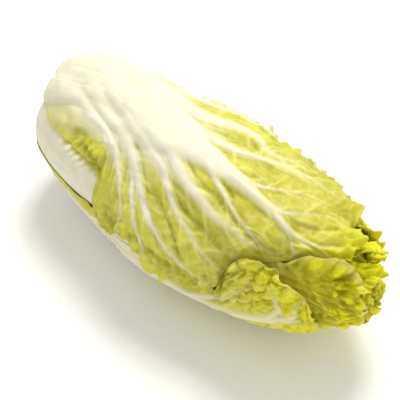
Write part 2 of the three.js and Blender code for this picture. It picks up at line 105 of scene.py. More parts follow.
def smooth(low, high, value):
    t = np.clip((value - low) / (high - low), 0, 1)
    return t * t * (3 - 2 * t)


def bell(distance, width):
    return np.exp(-((distance / width) ** 2))


# The heart's profile: (along the head's axis, radius).
HEART_PROFILE = [
    (-141, 20), (-140, 28), (-132, 35.5), (-112, 42.5), (-85, 47.5), (-46, 50.5),
    (8, 51), (61, 47.5), (98, 38), (120, 28), (135, 17), (141, 8), (142.5, 0),
]
HALF_LENGTH = 153
AXIS_HEIGHT = 59.4
BOW = 7.7  # how far the middle of the axis bends towards -Y
UNDERSIDE = 45.3  # from the axis to where the heart is pressed flat by its weight
SQUASH_BLEND = 8  # how softly it turns into that flat
STEM_FROM = -154
STEM_RADIUS = 19.3
rib_half_width = through([
    (0, 13), (22, 26), (50, 32), (85, 34), (120, 29), (160, 20), (200, 12), (240, 6.5), (300, 3),
])
rib_thickness = through([
    (0, 5.2), (18, 7.6), (50, 7.4), (110, 6), (170, 4.4), (230, 2.8), (300, 1.6),
])


def spline_profile(points, steps=400):
    """Arc length, x, radius and outward normal at fine steps of the profile's curve."""
    p = np.array(points, float)
    u = np.linspace(0, len(p) - 1, (len(p) - 1) * steps + 1)
    i = np.minimum(u.astype(int), len(p) - 2)
    t = (u - i)[:, None]
    before, here = p[np.maximum(i - 1, 0)], p[i]
    there, after = p[i + 1], p[np.minimum(i + 2, len(p) - 1)]
    v0, v1 = (there - before) / 2, (after - here) / 2
    q = (
        (2 * here - 2 * there + v0 + v1) * t**3 + (-3 * here + 3 * there - 2 * v0 - v1) * t**2
        + v0 * t + here
    )
    run = run_along(q)
    tangent = np.gradient(q, run, axis=0)
    tangent /= np.linalg.norm(tangent, axis=1)[:, None]
    return run, q[:, 0], q[:, 1], -tangent[:, 1], tangent[:, 0]


def run_along(points):
    """Length of a line up to each of its points."""
    return np.concatenate([[0], np.cumsum(np.linalg.norm(np.diff(points, axis=0), axis=1))])


PROFILE = spline_profile(HEART_PROFILE)
PROFILE_LENGTH = PROFILE[0][-1]
LEAST_RADIUS = 8  # keeps widths from shrinking to nothing at the very tip


def profile_at(s):
    s = np.clip(s, 0, PROFILE_LENGTH)
    return [np.interp(s, PROFILE[0], column) for column in PROFILE[1:]]


def radius_at(s):
    return np.maximum(profile_at(s)[1], LEAST_RADIUS)


def bend_at(x):
    return BOW * np.maximum(0, 1 - (x / HALF_LENGTH) ** 2)


# From the head's axis to the frame: the stem's box gives the shift.
STEM_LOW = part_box("stem")[0]
SHIFT_X = STEM_LOW[0] / MM - STEM_FROM
SHIFT_Y = STEM_LOW[1] / MM + STEM_RADIUS + float(bend_at(STEM_FROM + 2.5))


def squashed(radius, angle):
    """Radius at an angle, flattened on the underside."""
    down = -np.cos(angle * DEG)
    limit = UNDERSIDE / np.maximum(down, 0.2)
    k = np.clip(0.5 + 0.5 * (limit - radius) / SQUASH_BLEND, 0, 1)
    soft = limit * (1 - k) + radius * k - SQUASH_BLEND * k * (1 - k)
    return np.where(down < 0.2, radius, soft)


def round_axis(x, angle, radius):
    """Points at a distance from the head's bent axis, in the frame's millimetres."""
    return np.stack([
        x + SHIFT_X,
        -radius * np.sin(angle * DEG) - bend_at(x) + SHIFT_Y,
        radius * np.cos(angle * DEG) + AXIS_HEIGHT,
    ], -1)


def place(s, angle, h):
    x, r, nx, nr = profile_at(s)
    return round_axis(x + nx * h, angle, np.maximum(0, squashed(r, angle) + nr * h))


# ------------------------------------------------------------------ noise, natural unevenness


def hashed(i, j, seed):
    """A number from 0 to 1 for each whole-number place."""
    n = i.astype(np.int64) * 374761393 + j.astype(np.int64) * 668265263 + seed * 974634777
    n &= 0xFFFFFFFF
    n = ((n ^ (n >> 13)) * 1274126177) & 0xFFFFFFFF
    return ((n ^ (n >> 16)) & 0xFFFFFF) / 0xFFFFFF


def noise(x, y, seed):
    """Smooth noise from -1 to 1 with features one unit apart."""
    i, j = np.floor(x), np.floor(y)
    u, v = (f * f * f * (f * (6 * f - 15) + 10) for f in (x - i, y - j))
    a, b = hashed(i, j, seed), hashed(i + 1, j, seed)
    c, d = hashed(i, j + 1, seed), hashed(i + 1, j + 1, seed)
    return 2 * ((a * (1 - u) + b * u) * (1 - v) + (c * (1 - u) + d * u) * v) - 1


def cells(x, y, seed):
    """Distances to the nearest and to the second nearest of scattered points one unit apart."""
    i, j = np.floor(x), np.floor(y)
    near, second = np.full((2,) + x.shape, 9.0)
    for di in (-1, 0, 1):
        for dj in (-1, 0, 1):
            px = i + di + 0.1 + 0.8 * hashed(i + di, j + dj, seed)
            py = j + dj + 0.1 + 0.8 * hashed(i + di, j + dj, seed + 7)
            d = np.hypot(x - px, y - py)
            second = np.minimum(second, np.maximum(near, d))
            near = np.minimum(near, d)
    return near, second


# ------------------------------------------------------------------ the leaves
#
# Lists of pairs give a value against s. centre: where the midrib runs, in degrees. near and far:
# how far the blade reaches from it in degrees, on the side of growing angle and on the other.
# lift: how far a margin stands off. rib: share of the head's common rib width. roll: how far in
# the margin rolls back. frill: size of its fine ruffles. crisp: amount of crumpling. far_calm:
# share of its waves that the far side keeps. rounding: how much sooner each side ends than the
# middle. over_top_from: where its frilled end starts to come out over the top leaf. rim and
# pale: how white the tip's rim and the young blade are. veins: (width at the start, points).
# folds: (depth, width, points). pleats: short folds beside the midrib near the base.

PLAIN_REACH = [
    (0, 28), (25, 35), (60, 38), (95, 44), (130, 62), (170, 72), (220, 72), (262, 62), (305, 44),
]
# What a leaf has where its own row below says nothing else.
PLAIN_LEAF = dict(
    start=0, near=PLAIN_REACH, far=PLAIN_REACH, lift=[(262, 0), (288, 4), (301, 6)],
    near_rib=[(0, 1), (30, 0.8), (60, 0.62), (300, 0.6)],
    far_rib=[(0, 1), (30, 0.8), (60, 0.7), (300, 0.6)],
    roll=[(0, 0), (240, 0), (280, 4), (297, 5)],
    frill=[(0, 0.3), (220, 0.5), (270, 2.2), (297, 3)],
    crisp=[(0, 0.6), (220, 0.9), (262, 2)], far_calm=[(0, 1)], rim=0, pale=1,
    over_top_from=math.inf, veins=(), folds=(), pleats=None,
)

TOP_LEAF = dict(
    name="top_leaf", node="leaf_1_top", end=280, rounding=(4, 34), columns=160, seed=11,
    centre=[
        (0, 14), (25, 11), (60, 4), (110, 6), (154, 9), (196, 13), (225, 17), (244, 21), (284, 18),
    ],
    near=[
        (0, 26), (25, 37), (36, 47), (51, 51), (70, 55), (90, 54), (99, 60), (106, 88), (120, 90),
        (132, 80), (140, 77), (147, 82), (156, 88), (168, 90), (193, 82), (212, 74), (219, 60),
        (227, 42), (240, 30), (250, 22), (258, 14), (270, 10), (284, 7),
    ],
    far=[
        (0, 40), (26, 47), (50, 48), (95, 52), (130, 57), (170, 63), (220, 75), (262, 74),
        (284, 68),
    ],
    near_lift=[(95, 0), (128, 2), (205, 2), (218, 0)],
    far_lift=[
        (130, 0.5), (160, 4), (178, 0.5), (205, 1.5), (222, 1.5), (240, 0.5), (262, 0.5), (284, 1),
    ],
    near_rib=[(0, 0.95), (25, 0.75), (50, 0.56), (85, 0.56), (110, 0.66), (150, 0.5), (200, 0.42)],
    far_rib=[(0, 1), (40, 0.92), (80, 0.8), (120, 0.7), (160, 0.55), (200, 0.45)],
    roll=[(0, 0), (150, 0), (230, 2), (284, 4)],
    frill=[(0, 0.5), (60, 0.8), (105, 1), (125, 2), (200, 1.9), (240, 1.6), (284, 2.6)],
    far_calm=[(0, 0.4), (145, 0.4), (170, 1)],
    crisp=[(0, 0.6), (130, 0.7), (180, 1), (230, 0.9), (284, 1.2)],
    pleats=dict(size=[(56, 0), (68, 1.2), (92, 1.4), (100, 0)], angle=53, width=5),
    veins=[
        (4.4, [(46, 25), (74, 30), (95, 36), (114, 50), (123, 60), (136, 78)]),
        (4.2, [(50, 14), (98, 27), (120, 40), (136, 60), (148, 74), (160, 90)]),
        (5.4, [(50, 9), (78, 22), (108, 32), (124, 40), (142, 56), (157, 66), (175, 74),
         (193, 82), (214, 90)]),
        (5, [(70, 8), (106, 20), (133, 28), (148, 34), (162, 45), (177, 54), (198, 64), (214, 72)]),
        (7, [(90, 8), (143, 22), (163, 30), (192, 38), (212, 42), (230, 44)]),
        (3, [(170, 15), (182, 20), (200, 28), (226, 39), (242, 42)]),
        (5.4, [(40, -24), (94, -23), (134, -19), (169, -29), (192, -25), (220, -36)]),
        (5.6, [(79, -12), (120, -8), (146, -5), (178, -10), (197, -20), (220, -27), (244, -36)]),
        (3.4, [(140, 4), (180, 8), (203, 8), (218, -2), (236, -20)]),
        (3.2, [(190, 13), (216, 14), (229, 13), (240, 2), (258, -20)]),
        (3.4, [(232, 18), (244, 22), (260, 18), (272, 0)]),
        (2.8, [(230, 18), (243, 24), (256, 40)]),
        (5, [(30, -28), (68, -38), (110, -44), (150, -56), (190, -70)]),
        (4.2, [(100, -32), (150, -42), (200, -56), (240, -66)]),
    ],
    folds=[
        (3.2, 1.8, [(62, 45), (66, 44), (72, 43)]),
        (3, 2.4, [(118, 85), (124, 86), (132, 86)]),
        (2.2, 1.6, [(74, 52), (84, 55), (92, 57), (104, 62)]),
        (1.5, 2.4, [(134, 54), (150, 60), (166, 72), (178, 80)]),
        (2, 2.4, [(146, 50), (158, 54), (176, 65), (190, 76)]),
        (2.4, 2.6, [(163, 43), (180, 49), (192, 52), (210, 58), (222, 62)]),
        (2.4, 2.2, [(176, 29), (184, 29), (192, 30), (205, 34), (217, 38), (229, 41), (240, 42)]),
        (2.2, 2.6, [(156, 84), (166, 85), (174, 86), (192, 84)]),
        (2.2, 2.2, [(158, 0), (166, -2), (177, -5), (188, -11), (200, -14)]),
        (1.3, 2, [(150, 36), (158, 37), (172, 39), (186, 44)]),
        (1.5, 2.2, [(200, 2), (210, 3), (220, -1), (232, -9)]),
        (1.6, 2.4, [(150, -16), (172, -18), (190, -26)]),
        (1.6, 2.2, [(236, 12), (247, 10), (256, 2), (266, -12)]),
    ],
)

NEAR_SIDE_LEAF = dict(
    name="near_side_leaf", node="leaf_2_near_side", end=280, rounding=(34, 4), columns=160, seed=23,
    over_top_from=214, rim=0.45, pale=0.2,
    centre=[(0, 130), (80, 128), (150, 117), (200, 110), (231, 105), (262, 103), (300, 103)],
    near=[
        (0, 28), (25, 36), (60, 40), (95, 48), (130, 66), (170, 76), (220, 70), (262, 58),
        (300, 46),
    ],
    far=[
        (0, 32), (25, 38), (60, 37), (95, 36), (116, 32), (140, 42), (180, 42), (198, 30),
        (208, 18), (214, 16), (219, 34), (223, 49), (228, 54), (239, 56), (247, 54), (254, 50),
        (262, 44), (270, 36), (278, 24), (286, 16), (292, 12),
    ],
    near_lift=[(100, 0), (200, 1), (290, 0.5)],
    far_lift=[(110, 0), (150, 1), (214, 0), (222, 2.5), (240, 4), (256, 2), (280, 0.5)],
    near_rib=[(0, 1), (60, 0.6), (110, 0.5), (200, 0.5), (250, 0.8), (290, 1.3)],
    far_rib=[
        (0, 0.8), (25, 0.3), (60, 0.2), (100, 0.24), (150, 0.4), (200, 0.45), (250, 0.7),
        (290, 1.4),
    ],
    roll=[(0, 0), (180, 0), (218, 2), (240, 4), (256, 3), (280, 1)],
    frill=[
        (0, 0.1), (100, 0.2), (150, 0.7), (200, 0.8), (220, 2), (240, 3.2), (258, 2.4), (280, 1.2),
    ],
    crisp=[(0, 0.7), (180, 0.9), (220, 2), (292, 2)],
    veins=[
        (3.6, [(80, 110), (110, 104), (140, 96), (168, 88), (195, 82)]),
        (4.6, [(90, 116), (140, 106), (180, 96), (208, 90)]),
        (2.4, [(190, 108), (216, 98), (230, 82), (236, 66)]),
        (6.4, [(228, 107), (246, 103), (257, 92), (254, 78), (250, 64)]),
        (6, [(236, 106), (256, 103), (266, 92), (267, 78), (271, 64)]),
        (3.4, [(246, 104), (266, 100), (276, 90)]),
        (4.6, [(40, 148), (90, 154), (130, 168), (165, 180), (195, 190)]),
        (4.2, [(100, 140), (150, 146), (190, 160), (225, 172)]),
        (3.8, [(150, 124), (200, 132), (235, 146), (260, 158)]),
        (3, [(210, 114), (245, 120), (270, 128)]),
    ],
    folds=[
        (3, 3.6, [(256, 98), (262, 86), (260, 70), (258, 58)]),
        (2.6, 3.2, [(266, 98), (272, 86), (274, 72)]),
    ],
)

FAR_SIDE_LEAF = dict(
    name="far_side_leaf", node="leaf_3_far_side", end=285, rounding=(14, 22), columns=122, seed=37,
    centre=[(0, -102), (90, -104), (180, -110), (300, -106)],
    near=[
        (0, 30), (25, 36), (60, 40), (95, 48), (130, 66), (170, 76), (220, 76), (262, 66),
        (300, 48),
    ],
    far=[
        (0, 28), (25, 35), (60, 38), (95, 46), (130, 62), (170, 70), (220, 70), (262, 62),
        (300, 46),
    ],
    near_lift=[(80, 0), (150, 2), (230, 0.5), (290, 0.5)],
    far_lift=[(100, 0), (200, 0.8), (290, 0.5)], near_rib=[(0, 1), (60, 0.7), (300, 0.7)],
    far_rib=[(0, 1), (60, 0.7), (300, 0.7)],
    roll=[(0, 0), (120, 0), (150, 3), (200, 3), (250, 4), (285, 5)],
    frill=[(0, 0.4), (100, 0.8), (150, 1.8), (200, 1.6), (250, 2.2), (285, 3)],
    crisp=[(0, 0.7), (200, 1), (285, 1.6)],
)

INNER_NEAR_SIDE_LEAF = dict(
    name="inner_near_side_leaf", node="leaf_4_inner_near_side", end=306,
    rounding=(4, 14), columns=130, seed=41, over_top_from=246, rim=0.55,
    centre=[(0, 74), (80, 79), (160, 72), (240, 66), (262, 68), (282, 78), (304, 90)],
    near=[
        (0, 28), (25, 35), (60, 38), (95, 44), (130, 62), (170, 72), (220, 72), (262, 60),
        (285, 54), (304, 58),
    ],
    far=[
        (0, 40), (25, 54), (60, 50), (95, 48), (130, 62), (170, 66), (220, 56), (236, 40),
        (243, 24), (249, 20), (254, 28), (260, 38), (266, 44), (278, 58), (290, 66), (304, 62),
    ],
    near_lift=[(262, 0), (285, 1), (304, 5)], far_lift=[(250, 0), (262, 4), (285, 5), (304, 7)],
    far_rib=[(0, 1.4), (30, 1.15), (60, 0.6), (100, 0.5), (240, 0.5), (262, 0.15)],
    roll=[(0, 0), (240, 0), (262, 5), (305, 5)],
    frill=[(0, 0.3), (220, 0.5), (270, 2.4), (305, 3.4)],
    crisp=[(0, 0.6), (220, 0.9), (266, 1.1), (280, 1.7), (292, 2.1)],
    pleats=dict(size=[(40, 0), (60, 1), (96, 1.3), (106, 0)], angle=62, width=7),
    folds=[
        (5, 5, [(250, 52), (257, 66), (266, 82), (276, 98), (286, 112)]),
        (4, 4, [(258, 36), (265, 50), (272, 66), (280, 84), (290, 98)]),
        (4, 4.4, [(270, 26), (277, 44), (283, 62), (290, 80)]),
        (3.4, 3.6, [(284, 18), (289, 40), (294, 60), (300, 80)]),
        (3, 3.4, [(292, 92), (297, 108), (300, 124)]),
    ],
)

INNER_UNDERSIDE_LEAF = dict(
    name="inner_underside_leaf", node="leaf_5_inner_underside", end=297,
    rounding=(14, 14), columns=88, seed=53,
    centre=[(0, 190), (120, 192), (300, 184)],
)

INNER_FAR_SIDE_LEAF = dict(
    name="inner_far_side_leaf", node="leaf_6_inner_far_side", end=287,
    rounding=(14, 14), columns=100, seed=61,
    centre=[(0, -46), (120, -42), (300, -48)],
    near=[
        (0, 44), (25, 56), (60, 50), (95, 48), (130, 62), (170, 72), (220, 72), (262, 62),
        (305, 44),
    ],
    lift=[(262, 0), (288, 0.5), (302, 1)], near_rib=[(0, 1.4), (30, 1.2), (60, 0.7), (300, 0.6)],
    roll=[(0, 0), (240, 0), (280, 4), (302, 6)],
    frill=[(0, 0.3), (220, 0.5), (270, 2.4), (302, 3.4)],
)

LEAVES = (
    TOP_LEAF, NEAR_SIDE_LEAF, FAR_SIDE_LEAF, INNER_NEAR_SIDE_LEAF, INNER_UNDERSIDE_LEAF,
    INNER_FAR_SIDE_LEAF,
)
HEART_REACH = [(226, 54), (300, 68), (314, 74)]
# The outermost leaves of the heart: only their crisped ends show, closing over the tip.
HEART_LEAVES = [
    dict(
        name="heart", start=226, end=end, rounding=(7, 7), columns=66, seed=seed,
        centre=[(0, centre)], near=HEART_REACH, far=HEART_REACH, lift=[(270, 0), (306, lift)],
        near_rib=[(0, 0.4)], far_rib=[(0, 0.4)], roll=[(0, 0), (280, 0), (306, 4)],
        frill=[(0, 0), (270, 1), (310, 2.6)], crisp=[(0, 1.6)],
    )
    for centre, end, lift, seed in (
        (28, 308, 4, 71), (-96, 302, 1, 73), (142, 311, 6, 79), (-30, 300, 0.5, 83),
    )
]

CURVES = (
    "centre", "near", "far", "near_lift", "far_lift", "near_rib", "far_rib", "roll", "frill",
    "crisp", "far_calm",
)
# A plain leaf's main veins: where each leaves the midrib, on both sides.
VEIN_STARTS = (45, 82, 112, 140, 168, 196, 224, 246)
VEIN_LENGTH = 95
THINNEST = 1.3  # a finer ridge would fall between the mesh's points

# Millimetres across what stands out of the blade: panes between the finest veins, puffed
# bulges of crisp leaf and dimples on them, fibres of the midrib.
PANE = 6.4
BULGE = (8.6, 7)
DIMPLE = (4.6, 4.2)
FIBRE, FINE_FIBRE = 3.4, 1.6
# Creases and waves fan out over the blade from these places on the midrib, so many to a radian.
CREASES_FROM, CREASES, FINE_CREASES = 20, 24, 46
WAVES_FROM, WAVES, FINE_WAVES = 130, 26, 49


class Leaf:
    """One leaf: its outline, its relief and its colour masks as functions of s and angle."""

    def __init__(self, spec, sizes, rank):
        spec = {**PLAIN_LEAF, **spec}
        for key in ("near_lift", "far_lift"):
            spec.setdefault(key, spec["lift"])
        for key, value in spec.items():
            setattr(self, key, through(value) if key in CURVES else value)
        self.sizes, self.rank = sizes, rank
        self.fading = 0.1 if self.veins else 0.75  # how much its veins fade towards the tip
        self.veins = self.vein_lines(self.veins or self.plain_veins())
        self.twigs = self.side_veins()
        self.folds = self.fold_lines()

    # -------------------------------------------------------------- outline

    def off_centre(self, s, angle):
        d = angle - self.centre(s)
        return d - 360 * np.round(d / 360)

    def flat(self, s, angle):
        """The leaf's own plane: along it and across it from the midrib, in millimetres."""
        return np.stack([s, self.off_centre(s, angle) * DEG * radius_at(s)], -1)

    def sides(self, share, s, near, far):
        return np.where(share < 0, far(s), near(s))

    def reach(self, share, s):
        return self.sides(share, s, self.near, self.far)

    def share_at(self, s, angle):
        """How far out a place is: 0 at the midrib, 1 at the near margin, -1 at the far one."""
        d = self.off_centre(s, angle)
        return d / self.reach(d, s)

    def end_at(self, share):
        near, far = self.rounding
        return self.end - np.where(share < 0, far, near) * np.abs(share) ** 3

    def before_end(self, s, share):
        return self.end_at(np.clip(share, -1, 1)) - s

    def across(self, s, share):
        """Millimetres from the midrib, signed."""
        return share * self.reach(share, s) * DEG * radius_at(s)

    def inset(self, s, angle):
        """Millimetres in from the margin."""
        share = self.share_at(s, angle)
        width = self.reach(share, s) * DEG * radius_at(s)
        return np.minimum((1 - np.abs(share)) * width, self.before_end(s, share))

    def bed(self, s, angle):
        """Height it rests at: margins hug what is under them, the rest bridges over it."""
        bridge, hug = (sample(bed, s, angle) for bed in self.beds)
        return hug + (bridge - hug) * smooth(4, 20, self.inset(s, angle))

    # -------------------------------------------------------------- veins and folds

    def plain_veins(self):
        rows = []
        for side, reach in ((1, self.near), (-1, self.far)):
            for k, start in enumerate(VEIN_STARTS):
                s = np.linspace(start, min(start + VEIN_LENGTH, self.end - 6), 6)
                run = s - s[0]
                rib = rib_half_width(s[0]) / radius_at(s[0]) / DEG * (0.72 - 0.09 * k)
                turn = rib + run * (0.36 - 0.012 * k) * (1 + 0.002 * run)
                turn = np.minimum(turn, 0.96 * reach(s))
                rows.append((5 - 0.38 * k, list(zip(s, self.centre(s) + side * turn))))
        return rows

    def vein_lines(self, rows):
        """Each vein as points on the leaf's plane, with its width and height at each."""
        t = np.linspace(0, 1, 26)
        lines = []
        for width, points in rows:
            run = np.linspace(0, 1, len(points))
            s, angle = (through(list(zip(run, column)))(t) for column in zip(*points))
            line = self.flat(s, angle)
            line[:, 1] += 0.7 * noise(s / 13, width, self.seed)
            height = (1.1 + 0.3 * width) * (1 - 0.8 * t)
            lines.append((line, 1.15 * width * (1 - 0.55 * t), height))
        return lines

    def side_veins(self):
        """Finer veins that fork off the main ones on both sides, each with a bend or two."""
        rng = np.random.default_rng(self.seed)
        t = np.linspace(0, 1, 6)
        twigs = []
        for line, width, _ in self.veins:
            step = rng.uniform(8, 12)
            run = run_along(line)
            at, side = 0.34 * run[-1], 1
            while at < run[-1] * 0.98:
                (x, x2), (y, y2) = (np.interp([at, at + 4], run, column) for column in line.T)
                heading = math.atan2(y2 - y, x2 - x) + side * rng.uniform(0.5, 0.95)
                length = rng.uniform(13, 24)
                points = [(x, y)]
                for _ in range(5):
                    heading += rng.uniform(-0.28, 0.28) - side * 0.05
                    x += math.cos(heading) * length / 5
                    y += math.sin(heading) * length / 5
                    points.append((x, y))
                thick = 0.5 * np.interp(at, run, width)
                twigs.append((np.array(points), thick * (1 - 0.5 * t), 0.75 * (1 - 0.6 * t)))
                side = -side
                at += step * rng.uniform(0.55, 1.1)
        return twigs

    def fold_lines(self):
        """Each fold as points on the leaf's plane, widths and depths: deepest midway."""
        share = np.sin(np.linspace(0.5, 2.7, 16))
        lines = []
        for depth, width, points in self.folds:
            s = np.linspace(points[0][0], points[-1][0], 16)
            line = self.flat(s, through(points)(s))
            lines.append((line, np.full(16, width), depth * share))
        return lines

    def ridges(self, where, lines):
        """Height of the highest ridge at each place, how white it is and how deep beside it."""
        flat = where.reshape(-1, 2)
        high, white, deep = np.zeros((3, len(flat)))
        for points, width, height in lines:
            reach = 3 * width.max()
            low, top = points.min(0) - reach, points.max(0) + reach
            close = np.flatnonzero(((flat >= low) & (flat <= top)).all(1))
            if not len(close):
                continue
            q = flat[close]
            best, turn = np.full(len(q), np.inf), np.zeros(len(q))
            found = np.zeros((3, len(q)))
            share = np.linspace(0, 1, len(points))
            rows = np.column_stack([points, np.maximum(width, THINNEST), height, share])
            for row, step in zip(rows, np.diff(rows, axis=0)):
                away, ab = q - row[:2], step[:2]
                t = np.clip((away @ ab) / max(ab @ ab, 1e-9), 0, 1)
                d = np.hypot(*(away - t[:, None] * ab).T)
                closer = d < best
                best = np.where(closer, d, best)
                found = np.where(closer, row[2:, None] + step[2:, None] * t, found)
                turn = np.where(closer, ab[0] * away[:, 1] - ab[1] * away[:, 0], turn)
            w, z, along = found
            ridge = z * (0.75 * bell(best, w * 0.7) + 0.25 * bell(best, w * 1.7))
            # The blade sinks into a broken crease along the side that faces the midrib.
            inner = np.clip(0.5 - turn * np.sign(q[:, 1]) / 3, 0.15, 1)
            inner = inner * smooth(-0.35, 0.25, noise(along * 7, 0, 5)) * smooth(0.15, 0.4, along)
            crease = bell(best - 0.95 * w - 0.7, 0.8) * z * inner
            soft = 0.74 * bell(best, w * 0.62) + 0.26 * bell(best, w * 1.9)
            soft = soft * (1 - 0.5 * along**2)
            for field, values in (high, ridge), (white, soft), (deep, crease):
                field[close] = np.maximum(field[close], values)
        return (field.reshape(where.shape[:-1]) for field in (high, white, deep))

    # -------------------------------------------------------------- relief

    def rib(self, s, angle):
        """1 in the middle of the midrib to 0 at its edges."""
        share = self.share_at(s, angle)
        side = self.sides(share, s, self.near_rib, self.far_rib)
        q = np.abs(self.across(s, share)) / (rib_half_width(s) * 1.15 * side)
        return (1 - np.minimum(q, 1) ** 2.6) ** 1.3

    def ground(self, s, angle):
        """Thickness before veins, inset, rib, place on the plane, main veins and their masks."""
        edge, rib, where = self.inset(s, angle), self.rib(s, angle), self.flat(s, angle)
        main, white, deep = self.ridges(where, self.veins)
        main = main * smooth(0, 7, edge) * (0.55 + 0.45 * (1 - rib))
        margin = self.sizes["margin"]
        blade = margin + (self.sizes["blade"] - margin) * smooth(0, 12, edge)
        return blade + rib_thickness(s) * rib, edge, rib, where, main, white, deep

    def thickness(self, s, angle):
        """The thickness that leaves are stacked by, with room for half the puckers."""
        thick, _, rib, _, main, _, _ = self.ground(s, angle)
        return thick + main + 0.5 * self.sizes["pucker"] * smooth(60, 150, s) * (1 - rib)

    def relief(self, s, angle):
        """Thickness with all that stands out of the leaf, its masks, and how it crumples."""
        thick, edge, rib, where, main, white, deep = self.ground(s, angle)
        x, y = where[..., 0], where[..., 1]

        def rough(wide, high, k, shift=0):
            return noise(x / wide + shift, y / high, self.seed + k)

        twig, twig_white, _ = self.ridges(where, self.twigs)
        twig = twig * (1 - rib) * smooth(0, 4, edge)
        fold, _, _ = self.ridges(where, self.folds)
        tip = smooth(215, 262, s)
        margin = 1 - smooth(4, 34, edge)
        loose = np.maximum(tip, margin)

        # The net between the veins: raised threads round sunken panes.
        warp_x, warp_y = 0.35 * rough(9, 9, 0), 0.35 * rough(9, 9, 3)
        near, second = cells(
            x / PANE * 0.8 + 1.5 * warp_x, y / PANE * 1.1 + 1.5 * warp_y, self.seed
        )
        net = bell(second - near, 0.2)
        # Creases that fan out from the leaf's foot, some of them opening into slits.
        fan = np.arctan2(y, x - CREASES_FROM)
        line = noise(fan * CREASES, x / 30, self.seed + 15)
        slit = bell(line, 0.13) * smooth(-0.1, 0.5, noise(fan * 9, x / 38, self.seed + 19))
        crease = 1 - 2 * np.abs(line)
        finer = noise(fan * FINE_CREASES, x / 15, self.seed + 16)
        crease = crease + 0.6 * (1 - 2 * np.abs(finer))
        uneven = (1 - rib) ** 1.5 * (0.35 + 0.65 * smooth(0, 60, np.abs(y) - 12))
        uneven = uneven * smooth(45, 120, s) * (0.55 + 0.6 * tip + 0.5 * margin)
        uneven = np.clip(uneven, 0, 1.25)
        pucker = 0.5 * net + 0.4 * (near - 0.4) + 0.25 * crease - 0.55 * slit
        pucker = self.sizes["pucker"] * uneven * pucker

        # Crumpling: broad lumps and sharp folds, and puffed bulges where the leaf is crisp.
        big = rough(15, 11, 5) + 0.5 * rough(7, 6, 6)
        sharp = 1 - 2 * np.abs(rough(9, 8, 12, big * 0.3))
        big = big + 0.8 * sharp * (0.25 + 0.75 * loose)
        small = noise(x / 5.5 + 0.4 * big, y / 5 + 0.3 * big, self.seed + 14)
        crisp = np.clip(self.crisp(s) - 0.8, 0, 1.2)
        wide, high = BULGE
        bulge, gap = cells(x / wide + 1.2 * warp_x, y / high + 1.2 * warp_y, self.seed + 17)
        puffed = 0.65 * (1 - bell(gap - bulge, 0.3)) + 0.7 * (1 - bulge)
        wide, high = DIMPLE
        dimple, gap = cells(x / wide + warp_y, y / high + warp_x, self.seed + 18)
        little = 0.6 * (1 - bell(gap - dimple, 0.3)) + 0.3 * (1 - dimple)
        big = np.clip(big, -1.2, 1.2) * (1 - 0.4 * crisp)
        big = big + crisp * (1.45 * puffed + 0.75 * little - 1.1)
        big = big + 0.3 * (1 - 2.4 * np.abs(small)) * crisp
        crumple = (1 - rib) * smooth(50, 120, s) * (0.45 + 0.55 * loose)
        crumple = crumple * self.crisp(s) * (1 - 0.85 * smooth(0.1, 0.6, white))

        # Long shallow grooves run down the midrib, the way its fibres do.
        groove = rib * (0.28 * rough(60, FIBRE, 9) + 0.16 * rough(40, FINE_FIBRE, 8))
        rise = main + np.maximum(twig - 0.3 * main, 0) + pucker + groove * smooth(2, 30, s)
        trench = 0.5 * deep * smooth(0, 7, edge) * (1 - white) * (0.3 + 0.7 * (1 - rib))
        sunk = self.sizes["crumple"] * crumple * (0.5 + 0.5 * big) - trench - fold

        # The blade starts pale beside the midrib and near the stem, and greens away from them.
        past_rib = np.maximum(np.abs(y) - rib_half_width(s) * 0.8, 0)
        young = self.pale * 0.33 * bell(past_rib, 18) * (1 - smooth(130, 200, s))
        young = young + 0.12 * (1 - smooth(70, 125, s))
        older = smooth(120, 220, s)
        vein = white * np.maximum(0.96 - 0.26 * older - self.fading * tip, 0)
        whites = np.maximum(rib**0.75 * 1.15 * (1 - 0.5 * older) * (1 - 0.5 * tip), vein)
        rim = self.rim * tip * (1 - smooth(0.5, 4.5, edge))
        whites = np.maximum(whites, 0.6 * rim)
        whites = np.maximum(whites, young + 0.6 * whites)
        if self.pleats:
            size, middle, width = (self.pleats[key] for key in ("size", "angle", "width"))
            # The blade beside the pleats is yellow-green, with painted shade in their troughs: less
            # white where a pleat sinks, more on its crests.
            beside = smooth(0, 1, through(size)(s)) * bell(angle - middle + 2, 1.2 * width)
            whites = whites - beside * (0.6 - 0.22 * np.clip(self.pleat(s, angle), 0, 2))
        # Painted light and shade in the crumple mask: lighter on the lumps' tops, darker in the
        # slits, folds and trenches beside the veins, and unevenly across the net's panes.
        fold_shade = 0.3 * (near - 0.5) + 0.5 * slit * uneven + 0.5 * fold + 0.3 * deep * (1 - rib)
        masks = {
            "white": whites,
            "net": np.maximum(twig_white * 0.75, net * 0.3) * (1 - 0.5 * margin) + 1.6 * rim,
            "crumple": 0.5 + 0.5 * big * crumple - fold_shade,
            "edge": edge / 40,
        }
        masks = {key: np.clip(values, 0, 1) for key, values in masks.items()}
        return thick + rise, masks, sunk

    def pleat(self, s, angle):
        """Height of the short pleats that cross the leaf beside its midrib near the base."""
        size, middle, width = (self.pleats[key] for key in ("size", "angle", "width"))
        size = through(size)(s) * bell(angle - middle, width)
        lean = s * 0.95 + (angle - middle) * 0.34 + 1.7 * noise(s / 8, angle / 7, self.seed)
        size = size * (0.8 + 0.7 * noise(s / 7, angle / 12, self.seed + 1))
        return size * (1 + np.sin(lean))

